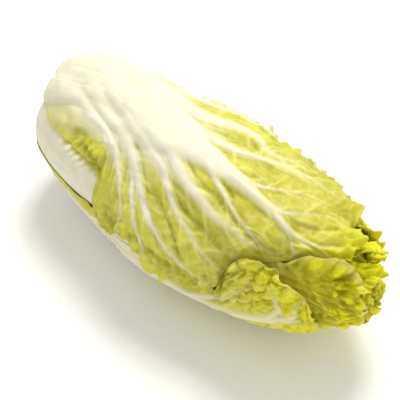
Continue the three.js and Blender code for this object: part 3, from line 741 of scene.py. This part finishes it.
    def wave(self, s, angle):
        """How far the blade waves out from what is under it: folds that fan out to the margin."""
        share, edge = self.share_at(s, angle), self.inset(s, angle)
        across = self.across(s, share)
        calm_side = np.where(share < 0, self.far_calm(s), 1)
        fan, k = np.arctan2(across, s - WAVES_FROM), self.rank
        fold = np.sin(WAVES * fan + 2.1 * np.sin(6 * fan + k) + 1.7 * k)
        small = np.sin(FINE_WAVES * fan + 1.3 * k)
        depth = 0.2 + 0.6 * smooth(50, 110, s) + 1.8 * smooth(90, 200, s)
        depth = depth + 2.6 * smooth(225, 270, s)
        near = 1 - smooth(0, 20 + 6 * smooth(220, 285, s), edge)
        lift = self.sides(share, s, self.near_lift, self.far_lift)
        out = near * (depth * calm_side * (0.3 + 0.55 * fold + 0.15 * small) + lift)
        if self.pleats:
            out = out + self.pleat(s, angle)
        # Fine ruffles where the margin has grown longer than what it hangs on.
        run = np.where(self.before_end(s, share) < (1 - np.abs(share)) * 60, across, s)
        out = out + near * lift * 0.7 * noise(run / 16, 2, self.seed)
        ruffle = np.sin(run * 0.68 + 2.2 * noise(run / 9, edge / 14 + k, self.seed))
        ruffle = 0.65 * ruffle + 0.7 * noise(run / 4, edge / 7, self.seed + 2) + 0.35
        return out + self.frill(s) * (1 - smooth(0, 13, edge)) * calm_side * ruffle


# ------------------------------------------------------------------ stacking

GRID_STEP = 1.5  # millimetres between the rows of the grid that leaves are stacked on
GRID_TURN = 1.0  # degrees between its columns
SPREAD, SOFTEN = 7, 4  # how far a leaf bridges over what is under it, and how softly
LOOSE = 0.9  # how much further off the leaves lie where nothing covers them
HEART_DEPTH = 5  # how far the heart's own leaves lie under its surface
PACKED = 1.2  # thickness of a heart leaf where others cover it
OVERHANG = 1  # how far past its margin a leaf still carries what lies on it


def pressed(angle):
    """The head's own weight presses the waves flat on its underside."""
    return smooth(0.78, 0.96, -np.cos(angle * DEG))


def calm(angle):
    """Waves die down from the head's sides to its underside."""
    return 1 - 0.75 * smooth(0.2, 0.75, -np.cos(angle * DEG))


def lies_over(leaves, j, k, s):
    """Whether leaf j lies over leaf k. Some frilled ends come out over the top leaf's margin."""
    if 0 in (j, k):
        return (s > leaves[j + k].over_top_from) == (k == 0)
    return j < k


def cover(leaves, k, s, angle, around=()):
    """How much of a place on leaf k lies under other leaves, 0 to 1."""
    most = np.zeros(s.shape)
    for j, other in enumerate([*leaves, *around]):
        if j != k:
            over = j < k or j >= len(leaves) if around else lies_over(leaves, j, k, s)
            most = np.maximum(most, smooth(-6, 0, other.inset(s, angle)) * over)
    return most


def slide(field, mm, combine):
    """Runs combine over a window of that many millimetres either way, along s, then round."""
    along = max(1, round(mm / GRID_STEP))
    padded = np.pad(field, ((along, along), (0, 0)), mode="edge")
    rows = combine(windows(padded, 2 * along + 1, axis=0), -1)
    out = np.empty_like(rows)
    for i, radius in enumerate(radius_at(np.arange(len(rows)) * GRID_STEP)):
        k = int(np.clip(round(mm / (radius * DEG) / GRID_TURN), 1, 60))
        out[i] = combine(windows(np.pad(rows[i], k, mode="wrap"), 2 * k + 1), -1)
    return out


def sample(field, s, angle):
    i = np.clip(s / GRID_STEP, 0, field.shape[0] - 1.001)
    j = (angle % 360) / GRID_TURN
    i0 = i.astype(int)
    j0 = j.astype(int) % field.shape[1]
    j1 = (j0 + 1) % field.shape[1]
    u, v = i - i0, j - np.floor(j)
    low = field[i0, j0] * (1 - v) + field[i0, j1] * v
    high = field[i0 + 1, j0] * (1 - v) + field[i0 + 1, j1] * v
    return low * (1 - u) + high * u


def bedded(top):
    """The beds a leaf lies on: one that bridges, and one that hugs what is under its margins."""
    bridge = slide(top, SPREAD, np.max)
    bridge = slide(slide(bridge, SOFTEN / 2, np.mean), SOFTEN / 2, np.mean)
    return bridge, np.maximum(top, slide(top, GRID_STEP, np.mean))


def stack(sizes):
    """Lays the leaves from the innermost out. Each rests on everything under it, and the frilled
    ends that come out over the top leaf's margin rest on that as well."""
    leaves, heart = (
        [Leaf(spec, sizes, rank) for rank, spec in enumerate(specs)]
        for specs in (LEAVES, HEART_LEAVES)
    )
    s, angle = np.meshgrid(
        np.arange(0, PROFILE_LENGTH, GRID_STEP), np.arange(0, 360, GRID_TURN), indexing="ij"
    )

    def laid(leaf):
        rise = leaf.wave(s, angle) * leaf.free + LOOSE * leaf.free * smooth(60, 120, s)
        return leaf.bed(s, angle) + sizes["gap"] + leaf.thickness(s, angle) + rise

    def covered(leaf):
        return leaf.inset(s, angle) > -OVERHANG

    top = np.full(s.shape, -float(HEART_DEPTH))
    for k, leaf in reversed(list(enumerate(heart))):
        leaf.beds = bedded(top)
        leaf.free = 1 - cover(heart, k, s, angle, leaves)
        surface = leaf.bed(s, angle) + PACKED + 1.4 * leaf.free
        top = np.where(covered(leaf) & (s > leaf.start), surface, top)
    top = low = np.maximum(top, 0)
    for k, leaf in reversed(list(enumerate(leaves))):
        leaf.beds = bedded(low if k == 0 else top)
        leaf.free = (1 - cover(leaves, k, s, angle)) * (1 - pressed(angle)) * calm(angle)
        surface = laid(leaf)
        top = np.where(covered(leaf), surface, top)
        low = np.where(covered(leaf) & (s < leaf.over_top_from), surface, low)
    on_top = np.where(covered(leaves[0]), surface, 0)
    for leaf in reversed(leaves[1:]):
        if leaf.over_top_from < math.inf:
            over = smooth(leaf.over_top_from - 1, leaf.over_top_from + 9, s)
            beds = zip(leaf.beds, bedded(on_top))
            leaf.beds = [np.maximum(bed, high * over) for bed, high in beds]
            on_top = np.where(covered(leaf) & (over > 0), laid(leaf), on_top)
    return leaves, heart


# ------------------------------------------------------------------ meshes

ROW_STEP = 1.15  # millimetres between a leaf's rows of points
MARGIN_DENSER = 1.12  # above 1, columns of points crowd towards the margins
FOLD_ROOM = 1.3  # how far a leaf with folds stands off, so that they can sink in
SOFT_BOX = 3  # how near its box's sides the head starts to be drawn in
SINK, SINK_BELOW = 1.6, 14  # how far the lowest places give under its weight, and up to where
INSIDE = 0.02  # how far the head stays inside its box
SETTLE = 0.7  # below this, a leaf lies flat on the table


def grid_quads(grid):
    """The four corners of each quad of a grid of point numbers."""
    return grid[:-1, :-1], grid[1:, :-1], grid[1:, 1:], grid[:-1, 1:]


def shell_faces(rows, columns, closed):
    """Corners of a closed shell between an outer and an inner grid of points."""
    n = rows * columns
    grid = np.arange(n).reshape(rows, columns)
    if closed:
        grid = np.hstack([grid, grid[:, :1]])
    a, b, c, d = grid_quads(grid)
    quads = [(a, d, c, b), (a + n, b + n, c + n, d + n)]
    rims = [(grid[0, :-1], grid[0, 1:]), (grid[-1, 1:], grid[-1, :-1])]
    if not closed:
        rims += [(grid[1:, 0], grid[:-1, 0]), (grid[:-1, -1], grid[1:, -1])]
    quads += [(p, p + n, q + n, q) for p, q in rims]
    return np.concatenate([np.stack(quad, -1).reshape(-1, 4) for quad in quads])


def mesh_piece(name, points, faces, masks, uv=None):
    """A smooth-shaded piece from points in millimetres, with its masks as point attributes."""
    mesh = bpy.data.meshes.new(name)
    mesh.from_pydata(points * MM, [], faces, shade_flat=False)
    mesh.validate()
    for key, values in masks.items():
        layer = mesh.attributes.new(key, "FLOAT", "POINT")
        layer.data.foreach_set("value", values.astype(np.float32).ravel())
    if uv is not None:
        layer = mesh.uv_layers.new(name="leaf_plane")
        corner = np.empty(faces.size, np.int32)
        mesh.loops.foreach_get("vertex_index", corner)
        layer.data.foreach_set("uv", uv[corner].astype(np.float32).ravel())
    piece = bpy.data.objects.new(name, mesh)
    bpy.context.scene.collection.objects.link(piece)
    return piece


def inside_box(points):
    """Points held a shade inside the head's own box. Nearing it they are drawn in softly."""
    points = points.copy()
    points[..., 2] -= SINK * (1 - smooth(0, SINK_BELOW, points[..., 2]))
    low, high = (np.array(corner) / MM for corner in CAD_BOX)
    middle, half = (low + high) / 2, (high - low) / 2 - INSIDE
    away = points - middle
    past = np.maximum(np.abs(away) - (half - SOFT_BOX), 0)
    drawn = np.sign(away) * (half - SOFT_BOX * np.exp(-past / SOFT_BOX))
    soft = np.where(past > 0, drawn, away) + middle
    z = points[..., 2]
    soft[..., 2] = np.where(z < middle[2], np.maximum(z, low[2]), soft[..., 2])
    return soft


def blurred(grid, rows, columns):
    """Mean over a window of that many rows and columns either way."""
    padded = np.pad(grid, ((rows, rows), (columns, columns)), mode="edge")
    grid = windows(padded, 2 * rows + 1, axis=0).mean(-1)
    return windows(grid, 2 * columns + 1, axis=1).mean(-1)


def leaf_shell(leaf):
    """A leaf's outer and inner points, its masks and its plane's coordinates."""
    rows = int((leaf.end - leaf.start) / ROW_STEP) + 1
    t, share = np.meshgrid(
        np.linspace(0, 1, rows), np.linspace(-1, 1, leaf.columns), indexing="ij"
    )
    share = np.sign(share) * (1 - (1 - np.abs(share)) ** MARGIN_DENSER)
    s = leaf.start + (leaf.end - leaf.start) * t - (leaf.end - leaf.end_at(share)) * t**6
    # Margins aren't straight: they waver in and out by a few millimetres.
    waver = noise(s / 9, share * 1.4, leaf.seed + 20)
    waver = waver + 0.6 * noise(s / 4, share * 3, leaf.seed + 21)
    sway = 0.012 + 0.01 * leaf.frill(s)
    share = share * (1 + sway * waver * np.abs(share) ** 4 * smooth(10, 60, s))
    jag = noise(share * 9, 0, leaf.seed + 22) * smooth(leaf.end - 30, leaf.end, s)
    s = s + 1.1 * leaf.frill(s) * jag
    angle = leaf.centre(s) + share * leaf.reach(share, s)

    thick, masks, sunk = leaf.relief(s, angle)
    free = sample(leaf.free, s, angle)
    out = leaf.wave(s, angle) * free + sunk * (0.25 + 0.75 * free)
    edge = leaf.inset(s, angle)
    if leaf.folds:
        out = out + FOLD_ROOM * free * smooth(105, 150, s)
    gap = leaf.sizes["gap"] * (0.35 + 0.65 * smooth(0, 10, edge))
    h = leaf.bed(s, angle) + gap + np.maximum(out, 0)
    # The margin rolls outwards where the leaf has room.
    roll = leaf.roll(s) * free
    depth = np.maximum(roll, 0.01)
    bent = np.clip((depth - edge) / depth, 0, 1) * np.where(roll > 0.5, 1.5, 0)
    h = h + depth * 0.55 * (1 - np.cos(bent))
    if leaf.start:
        # A leaf of the heart thins out and drops below the heart's surface where it is covered.
        thick = np.minimum(thick, PACKED + 1.6 * free)
        h = np.minimum(h, h * free - (0.2 + thick) * (1 - free))
    high = h + thick
    # Painted shade: how far a place lies below what is round it. The material darkens the deeper
    # places towards the crease colour.
    masks["hollow"] = np.clip(0.5 + 0.36 * (blurred(high, 5, 4) - high), 0, 1)
    outer = place(s, angle, high)
    outer[..., 2] = np.where(outer[..., 2] < SETTLE, 0, outer[..., 2])
    return outer, place(s, angle, h), masks, leaf.flat(s, angle), False


def joined(name, shells):
    """One piece of several shells: outer and inner points, masks, plane and whether it closes."""
    points, faces, planes, masks, count = [], [], [], {key: [] for key in MASKS}, 0
    for outer, inner, shell_masks, plane, closed in shells:
        points += [outer.reshape(-1, 3), inner.reshape(-1, 3)]
        faces.append(shell_faces(*outer.shape[:2], closed) + count)
        planes += [plane.reshape(-1, 2) * MM] * 2
        for key in MASKS:
            masks[key] += [shell_masks[key].ravel()] * 2
        count += 2 * plane[..., 0].size
    masks = {key: np.concatenate(values) for key, values in masks.items()}
    points = inside_box(np.concatenate(points))
    return mesh_piece(name, points, np.concatenate(faces), masks, np.concatenate(planes))


# ------------------------------------------------------------------ the heart and the stem

FRILLS = 12  # small leaves in the middle of the tip
FRILL_TURN = 137.5  # degrees from one to the next, as leaves grow
SKIN_DEPTH = 1.6


def core_shell():
    """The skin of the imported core, which shows only in gaps."""
    s, angle = np.meshgrid(
        np.linspace(10, PROFILE_LENGTH - 1, 64), np.linspace(0, 360, 60, endpoint=False),
        indexing="ij",
    )
    lump = 0.5 * noise(s / 16, angle / 14, 3)
    deep = -SKIN_DEPTH - (HEART_DEPTH - SKIN_DEPTH) * smooth(200, 224, s)
    outer = place(s, angle, deep + lump * smooth(0, 30, s))
    inner = place(s, angle, deep - SKIN_DEPTH)
    # Painted shade: the core's crumple and hollow masks are set to mark it darker, lying deep in
    # the gaps.
    masks = {key: np.full(s.shape, value) for key, value in zip(MASKS, (0.2, 0.3, 0.4, 1, 0.7))}
    return outer, inner, masks, np.stack([s, angle * 0.6], -1), True


def frill_shell(k):
    """One small leaf of the tip: it stands round the axis and its crisped end spreads outwards."""
    radius = 15.5 - 1.15 * k
    t, share = np.meshgrid(np.linspace(0, 1, 36), np.linspace(-1, 1, 58), indexing="ij")
    top = 150 - 0.16 * radius + 1.5 * math.sin(2.4 * k) - 8 * np.abs(share) ** 4
    top = top + 2.2 * noise(share * 5, share * 0 + k, 71)
    foot = 112 - 0.6 * radius
    x = foot + (top - foot) * t
    angle = FRILL_TURN * k + 20 + share * 62 * (0.85 + 0.15 * t)
    run = share * radius
    grow = t**2.5
    ruffle = np.sin(19 * share + 0.7 * k + 2 * noise(share * 4, t * 2, k))
    ruffle = np.sin(8 * share + 1.9 * k) + 0.6 * ruffle
    out = radius * (0.94 + 0.16 * t**4) + (0.9 + 0.085 * radius) * grow * ruffle
    out = out + grow * 2.2 * noise(run / 5, t * 7, 80 + k) + 0.9 * noise(run / 8, t * 5, 90 + k)
    near, second = cells(run / 5, x / 5, 100 + k)
    net = bell(second - near, 0.25)
    vein = bell(run - 0.6 * noise(x / 9, 0, k), 1.6 * (1.15 - t))
    for i in (-3, -2, -1, 1, 2, 3):
        line = i * (2 + 7 * t) * 0.8
        vein = np.maximum(vein, bell(run - line, 0.9) * smooth(0.1, 0.4, t))
    out = np.maximum(out, 0.8)
    high = out + 0.75 + 0.5 * net * smooth(0.2, 0.6, t) + 0.9 * vein
    # Painted light and shade: crumple is lighter on the ruffles' crests and darker in their
    # troughs; hollow darkens hollows and the frill's foot, deep in the tip.
    masks = {
        "white": np.clip(vein * 0.35 * (1 - t) + 0.2 * (1 - smooth(0, 0.6, t)), 0, 1),
        "net": net * 0.5,
        "crumple": np.clip(0.5 + 0.3 * ruffle * grow, 0, 1),
        "edge": 1 - t,
        "hollow": np.clip(0.5 + 0.1 * (blurred(high, 4, 5) - high) + 0.5 * (1 - t), 0, 1),
    }
    plane = np.stack([x, run], -1)
    return round_axis(x, angle, high), round_axis(x, angle, out), masks, plane, False


# The stump's outline: (radius, depth behind the cut face).
STEM_OUTLINE = [
    (0, 0), (6, 0), (12, 0.1), (16.8, 0), (18.6, 0.8), (19.2, 2.4), (18.6, 6), (17, 11),
    (15.5, 17.3), (0, 17.3),
]


def stem_piece():
    """The stump as it was cut: a slightly dished face, a bruised rim and scars of shed leaves."""
    fine = []
    for here, there in zip(STEM_OUTLINE, STEM_OUTLINE[1:]):
        steps = max(2, int(math.dist(here, there) / 0.7))
        fine += [np.add(here, np.subtract(there, here) * i / steps) for i in range(steps)]
    fine = np.array(fine + [STEM_OUTLINE[-1]])
    radius, back, angle = np.broadcast_arrays(
        fine[:, :1], fine[:, 1:], np.linspace(0, 360, 120, endpoint=False)
    )
    face = 1 - smooth(0.2, 1.5, back)
    scar = noise(angle / 9, back / 1.5, 5) * smooth(1, 3, back) * (1 - smooth(12, 17, back))
    across = radius / 6
    dish = 0.35 * noise(across * np.cos(angle * DEG), across * np.sin(angle * DEG), 8) + 0.25
    x = STEM_FROM + back + 0.05 + face * np.maximum(dish, 0)
    points = round_axis(x, angle, np.maximum(radius * (1 - 0.02 * np.abs(scar)) - 0.05, 0))
    grid = np.arange(radius.size).reshape(radius.shape)
    a, b, c, d = grid_quads(np.hstack([grid, grid[:, :1]]))
    faces = np.stack([a, d, c, b], -1).reshape(-1, 4)
    masks = {"face": face, "ring": radius / STEM_RADIUS}
    piece = mesh_piece("cut_stem", inside_box(points.reshape(-1, 3)), faces, masks)
    weld = piece.modifiers.new("close the middle", "WELD")
    weld.merge_threshold = 0.05 * MM
    return piece


# ------------------------------------------------------------------ materials

TABLE_HALF = 3.0  # metres, so that the table's edge stays out of view
WET_TISSUE_IOR = 1.42
MIX = {"output": 2, "data_type": "RGBA"}  # its inputs 0, 6 and 7: factor, colour, colour over it
SOFT = {"interpolation_type": "SMOOTHSTEP"}  # MapRange: source, from low, high, to low, high


def linear(hex_colour):
    """An sRGB hex colour as linear RGBA."""
    parts = [int(hex_colour[i:i + 2], 16) / 255 for i in (1, 3, 5)]
    return (*(p / 12.92 if p <= 0.04045 else ((p + 0.055) / 1.055) ** 2.4 for p in parts), 1.0)


def add(tree, kind, inputs=None, output=0, **settings):
    """Adds a node with its settings, and values or links into its inputs. Gives its output."""
    node = tree.nodes.new("ShaderNode" + kind)
    for key, value in settings.items():
        setattr(node, key, value)
    for key, value in (inputs or {}).items():
        if isinstance(value, bpy.types.NodeSocket):
            tree.links.new(value, node.inputs[key])
        else:
            node.inputs[key].default_value = value
    return node.outputs[output] if node.outputs else None


def blank_material(name):
    material = bpy.data.materials.new(name)
    material.use_nodes = True
    material.node_tree.nodes.clear()
    return material, material.node_tree


def cabbage_leaf(name, colours, tip_from, tip_to):
    """Living cabbage leaf: waxy cuticle over wet tissue. Light sinks in a millimetre or so, so
    the thick white ribs glow softly and the thin blade looks fresh, with a low waxy gloss."""
    material, tree = blank_material(name)
    tone = {key: tuple(getattr(colours, key)) for key in NapaColours.__annotations__}
    plane = add(tree, "UVMap", uv_map="leaf_plane")
    along = add(tree, "SeparateXYZ", {0: plane})
    white, net, crumple, edge, hollow = (
        add(tree, "Attribute", None, "Fac", attribute_name=key) for key in MASKS
    )
    # Patches of the blade, mottling within them, and the cuticle's unevenness: size in mm, detail.
    patches, mottle, uneven = (
        add(tree, "TexNoise", {"Vector": plane, "Scale": 1 / (size * MM), "Detail": detail})
        for size, detail in ((35.7, 3), (7.14, 4), (2.38, 3))
    )
    tip = add(tree, "MapRange", {0: along, 1: tip_from * MM, 2: tip_to * MM}, **SOFT)
    (
        patch, mature, trough_shade, fleck, fleck_room, thread_room, streak, ribbed, margin, shade,
        shade_room, gloss,
    ) = (
        add(tree, "MapRange", dict(enumerate(row)), **SOFT)
        for row in (
            (patches, 0.35, 0.65), (along, 170 * MM, 235 * MM, 0, 0.8), (crumple, 0.72, 0.2),
            (mottle, 0.42, 0.72, 0, 0.35), (tip, 0.9, 0.1, 0.2, 1), (tip, 0.9, 0.1, 0.35, 1),
            (mottle, 0.3, 0.7, 0, 0.5), (white, 0.15, 0.8), (edge, 0.06, 0, 0, 0.35),
            (hollow, 0.62, 1.2, 0, 0.45), (white, 0.8, 0.2, 0.35, 1),
            (mottle, 0.3, 0.7, 0.34, 0.5),
        )
    )
    # Painted shade: crease comes from the crumple mask's troughs and folds, sunk from hollow, with
    # less of it on the white ribs.
    crease, fleck, thread, sunk = (
        add(tree, "Math", {0: factor, 1: room}, operation="MULTIPLY")
        for factor, room in (
            (trough_shade, 0.55), (fleck, fleck_room), (net, thread_room), (shade, shade_room)
        )
    )
    rib = add(tree, "Mix", {0: streak, 6: tone["rib"], 7: tone["rib_shade"]}, **MIX)
    colour = tone["blade_yellow"]
    # Painted shade: the crease colour is laid in the crumples' troughs, the folds, slits and
    # hollows, where shade falls.
    for factor, over in (
        (patch, tone["blade_green"]), (mature, tone["mature"]), (tip, tone["tip"]),
        (crease, tone["crease"]), (fleck, tone["pale"]), (thread, tone["thread"]),
        (ribbed, rib), (margin, tone["edge"]), (sunk, tone["crease"]),
    ):
        colour = add(tree, "Mix", {0: factor, 6: colour, 7: over}, **MIX)
    # Cell-fine grain of the cuticle, drawn at 0.8 mm so that it shows.
    grain = add(tree, "TexVoronoi", {"Vector": plane, "Scale": 1 / (0.8 * MM)}, feature="SMOOTH_F1")
    height = add(tree, "Math", {0: grain, 1: 0.35, 2: uneven}, operation="MULTIPLY_ADD")
    shader = add(tree, "BsdfPrincipled", {
        "Base Color": colour,
        "Roughness": gloss,
        "Normal": add(tree, "Bump", {"Strength": 0.35, "Distance": 0.4 * MM, "Height": height}),
        "IOR": WET_TISSUE_IOR,
        "Specular IOR Level": 0.22,
        "Subsurface Weight": 0.25,
        "Subsurface Radius": (0.9, 0.8, 0.35),
        "Subsurface Scale": 4 * MM,
    })
    add(tree, "OutputMaterial", {"Surface": shader})
    return material


def cut_stem_flesh(colours):
    """Freshly cut stem flesh: wet, pale and fibrous, drying to straw at its rim and its fibres."""
    material, tree = blank_material("cut_stem_flesh")
    face, ring = (
        add(tree, "Attribute", None, "Fac", attribute_name=key) for key in ("face", "ring")
    )
    where = add(tree, "TexCoord", output="Object")
    cloud = add(tree, "TexNoise", {"Vector": where, "Scale": 1 / (6.25 * MM), "Detail": 4})
    fibres = add(tree, "TexVoronoi", {"Vector": where, "Scale": 1 / (1.6 * MM)})
    dried = tuple(colours.rib)
    for row, over in (
        ((cloud, 0.35, 0.7), "#E3D9B4"), ((fibres, 0.28, 0.05, 0, 0.45), "#CDBE8C"),
        ((ring, 0.8, 0.96, 0, 0.7), "#B79E63"),
    ):
        factor = add(tree, "MapRange", dict(enumerate(row)), **SOFT)
        dried = add(tree, "Mix", {0: factor, 6: dried, 7: linear(over)}, **MIX)
    shader = add(tree, "BsdfPrincipled", {
        "Base Color": add(tree, "Mix", {0: face, 6: linear("#E8E3BE"), 7: dried}, **MIX),
        "Roughness": 0.45,
        "Normal": add(tree, "Bump", {"Strength": 0.5, "Distance": 0.5 * MM, "Height": fibres}),
        "IOR": WET_TISSUE_IOR,
        "Subsurface Weight": 0.2,
        "Subsurface Radius": (1, 0.8, 0.4),
        "Subsurface Scale": 3 * MM,
    })
    add(tree, "OutputMaterial", {"Surface": shader})
    return material


def white_laminate():
    """Matt white laminate: even and bright, so the head's soft shadow is all it shows."""
    material, tree = blank_material("white_laminate")
    # Generated coordinates run from 0 to 1 across the table: clouds of 1000 mm.
    cloud = add(tree, "TexNoise", {"Scale": 2 * TABLE_HALF / (1000 * MM)})
    colour = add(tree, "Mix", {0: cloud, 6: linear("#FCFCFB"), 7: linear("#FFFFFF")}, **MIX)
    shader = add(tree, "BsdfPrincipled", {"Base Color": colour, "Roughness": 0.6})
    add(tree, "OutputMaterial", {"Surface": shader})
    return material


# ------------------------------------------------------------------ settings


def length(name, description, mm, least=0.0):
    return bpy.props.FloatProperty(
        name=name, description=description, default=mm * MM, min=least * MM, subtype="DISTANCE",
        precision=5,
    )


def tone(name, description, hex_colour):
    return bpy.props.FloatVectorProperty(
        name=name, description=description, default=linear(hex_colour), size=4, min=0, max=1,
        subtype="COLOR",
    )


def turn(name, description, degrees):
    return bpy.props.FloatProperty(
        name=name, description=description, default=math.radians(degrees), subtype="ANGLE"
    )


class NapaSizes(bpy.types.PropertyGroup):
    gap: length("Leaf gap", "Free space between leaves", 0.9, 0.3)
    blade: length("Blade", "Thickness of the green blade", 1.1, 0.6)
    margin: length("Margin", "Thickness of the blade at its edge", 0.8, 0.6)
    pucker: length("Pucker", "Depth of the panes between veins", 1.9)
    crumple: length("Crumple", "Depth of the blade's folds", 2.2)


class NapaColours(bpy.types.PropertyGroup):
    rib: tone("Rib", "Thick white midrib", "#EAE5CF")
    rib_shade: tone("Rib shade", "Creamier streaks of the midrib", "#DDD8B6")
    blade_yellow: tone("Blade, yellow", "Sunlit side of the blade's colour", "#D2CE4B")
    blade_green: tone("Blade, green", "Greener patches of the blade", "#C8C838")
    mature: tone("Mature", "The full-grown middle of the blade", "#BDB93C")
    # Painted shade: this colour darkens the crumples' troughs, folds, slits and hollows, where
    # shade falls.
    crease: tone("Crease", "Deep folds", "#8F8C00")
    pale: tone("Pale", "Faded flecks of the blade", "#E6E28C")
    thread: tone("Thread", "Fine net of veins", "#E6E27C")
    edge: tone("Edge", "Outermost margin", "#CCC81C")
    tip: tone("Tip", "Frilled ends of the leaves", "#E2DD00")


class NapaStage(bpy.types.PropertyGroup):
    azimuth: turn("Azimuth", "Camera round the head, from its near side", 42.3)
    elevation: turn("Elevation", "Camera above the table", 46.5)
    distance: length("Distance", "Camera from the head", 900)
    width: length("Width", "Width of the view at the head", 295)
    key: bpy.props.FloatProperty(
        name="Key light", description="Power of the key light", default=12, subtype="POWER"
    )
    sky: bpy.props.FloatProperty(
        name="Surround", description="Brightness of the white surround", default=0.6, min=0
    )


STACKED = {}
# Each tissue's material, with where its tip colour starts and is full, in mm along the leaf.
TISSUE = {
    "top_leaf": ("top_cabbage_leaf", 246, 292),
    "near_side_leaf": ("side_cabbage_leaf", 205, 280),
    "far_side_leaf": ("side_cabbage_leaf", 205, 280),
    "heart": ("heart_cabbage_leaf", 60, 150),
}
INNER_TISSUE = ("inner_cabbage_leaf", 235, 275)


def stacked():
    """The leaves and the heart's leaves, laid once for the sizes as they are set."""
    group = bpy.context.scene.napa_sizes
    sizes = {name: getattr(group, name) / MM for name in NapaSizes.__annotations__}
    key = tuple(sizes.values())
    if key not in STACKED:
        STACKED[key] = stack(sizes)
    return STACKED[key]


def leaf_material(leaf_name):
    name, tip_from, tip_to = TISSUE.get(leaf_name, INNER_TISSUE)
    found = bpy.data.materials.get(name)
    return found or cabbage_leaf(name, bpy.context.scene.napa_colours, tip_from, tip_to)


def finish_piece(piece, material, slot, *nodes):
    piece.data.materials.append(material)
    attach(piece, "root")
    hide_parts(*nodes)
    return {"FINISHED"}


def add_leaves(leaves):
    for leaf in leaves:
        piece = joined(leaf.name, [leaf_shell(leaf)])
        finish_piece(piece, leaf_material(leaf.name), "outer_leaf", leaf.node)
    return {"FINISHED"}


class NAPA_OT_stem(bpy.types.Operator):
    """Add the stump of the stem, as it was cut"""

    bl_idname = "napa.stem"
    bl_label = "Stem"

    def execute(self, context):
        flesh = cut_stem_flesh(context.scene.napa_colours)
        return finish_piece(stem_piece(), flesh, "stem_flesh", "stem")


class NAPA_OT_heart(bpy.types.Operator):
    """Add the heart with the frilled leaves of its tip"""

    bl_idname = "napa.heart"
    bl_label = "Heart"

    def execute(self, context):
        shells = [core_shell()] + [frill_shell(k) for k in range(FRILLS)]
        shells += [leaf_shell(leaf) for leaf in stacked()[1]]
        piece = joined("heart_leaves", shells)
        return finish_piece(piece, leaf_material("heart"), "heart_leaf", "heart")


class NAPA_OT_inner_leaves(bpy.types.Operator):
    """Add the three inner leaves that show between the outer ones"""

    bl_idname = "napa.inner_leaves"
    bl_label = "Inner Leaves"

    def execute(self, context):
        return add_leaves(stacked()[0][3:])


class NAPA_OT_outer_leaves(bpy.types.Operator):
    """Add the three outer leaves that wrap the head"""

    bl_idname = "napa.outer_leaves"
    bl_label = "Outer Leaves"

    def execute(self, context):
        return add_leaves(stacked()[0][:3])


# Name, share of the key light's power, size, place, what it points at (all metres) and colour.
LIGHTS = (
    ("key", 1, 0.55, (-0.22, 0.52, 1.1), (0, 0, 0.05), "#FFFCF5"),
    ("fill", 0.1, 0.8, (0.25, -1.0, 0.65), (0, 0, 0.05), "#FFFDF8"),
    ("tip_fill", 0.11, 0.7, (1.0, -0.35, 0.4), (0.1, 0, 0.05), "#FFFDF8"),
)


def placed(name, data, where, towards):
    """A lamp or a camera at a place, looking along a direction."""
    thing = bpy.data.objects.new(name, data)
    thing.location = where
    thing.rotation_euler = towards.to_track_quat("-Z", "Y").to_euler()
    bpy.context.scene.collection.objects.link(thing)
    return thing


class NAPA_OT_stage(bpy.types.Operator):
    """Set the head on a white table in soft light, seen from above its near side"""

    bl_idname = "napa.stage"
    bl_label = "Stage"

    def execute(self, context):
        stage = context.scene.napa_stage
        mesh = bpy.data.meshes.new("table")
        h = TABLE_HALF
        mesh.from_pydata([(-h, -h, 0), (h, -h, 0), (h, h, 0), (-h, h, 0)], [], [(0, 1, 2, 3)])
        mesh.materials.append(white_laminate())
        table = bpy.data.objects.new("table", mesh)
        context.scene.collection.objects.link(table)
        table.location.z = -0.2 * MM

        level = math.cos(stage.elevation)
        back = Vector((
            math.sin(stage.azimuth) * level, -math.cos(stage.azimuth) * level,
            math.sin(stage.elevation),
        ))
        target = Vector((SHIFT_X - 10, SHIFT_Y, AXIS_HEIGHT - 12.3)) * MM
        camera = bpy.data.cameras.new("camera")
        camera.sensor_width = 36
        camera.lens = camera.sensor_width * stage.distance / stage.width
        camera.clip_end = 20
        where = target + back * stage.distance
        context.scene.camera = placed("camera", camera, where, -back)

        for name, share, size, where, target, colour in LIGHTS:
            light = bpy.data.lights.new(name, "AREA")
            light.energy = stage.key * share
            light.size = size
            light.color = linear(colour)[:3]
            placed(name, light, where, Vector(target) - Vector(where))
        world = bpy.data.worlds.new("white surround")
        context.scene.world = world
        world.use_nodes = True
        surround = world.node_tree.nodes["Background"].inputs
        surround["Color"].default_value = (1, 1, 1, 1)
        surround["Strength"].default_value = stage.sky
        context.scene.view_settings.view_transform = "Standard"
        return {"FINISHED"}


OPERATORS = (NAPA_OT_stem, NAPA_OT_heart, NAPA_OT_inner_leaves, NAPA_OT_outer_leaves, NAPA_OT_stage)
GROUPS = {"napa_sizes": NapaSizes, "napa_colours": NapaColours, "napa_stage": NapaStage}


class NAPA_PT_panel(bpy.types.Panel):
    bl_label = "Napa Cabbage"
    bl_idname = "NAPA_PT_panel"
    bl_space_type = "VIEW_3D"
    bl_region_type = "UI"
    bl_category = "Cabbage"

    def draw(self, context):
        for key in GROUPS:
            group, box = getattr(context.scene, key), self.layout.box()
            for name in group.__annotations__:
                box.prop(group, name)
        for operator in OPERATORS:
            self.layout.operator(operator.bl_idname)


def register():
    for cls in (*GROUPS.values(), *OPERATORS, NAPA_PT_panel):
        bpy.utils.register_class(cls)
    for name, group in GROUPS.items():
        setattr(bpy.types.Scene, name, bpy.props.PointerProperty(type=group))


def unregister():
    for name in GROUPS:
        delattr(bpy.types.Scene, name)
    for cls in (NAPA_PT_panel, *reversed(OPERATORS), *GROUPS.values()):
        bpy.utils.unregister_class(cls)


def main():
    register()
    bpy.ops.napa.stem()
    bpy.ops.napa.heart()
    bpy.ops.napa.inner_leaves()
    bpy.ops.napa.outer_leaves()
    bpy.ops.napa.stage()
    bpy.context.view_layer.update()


if __name__ == "__main__":
    main()
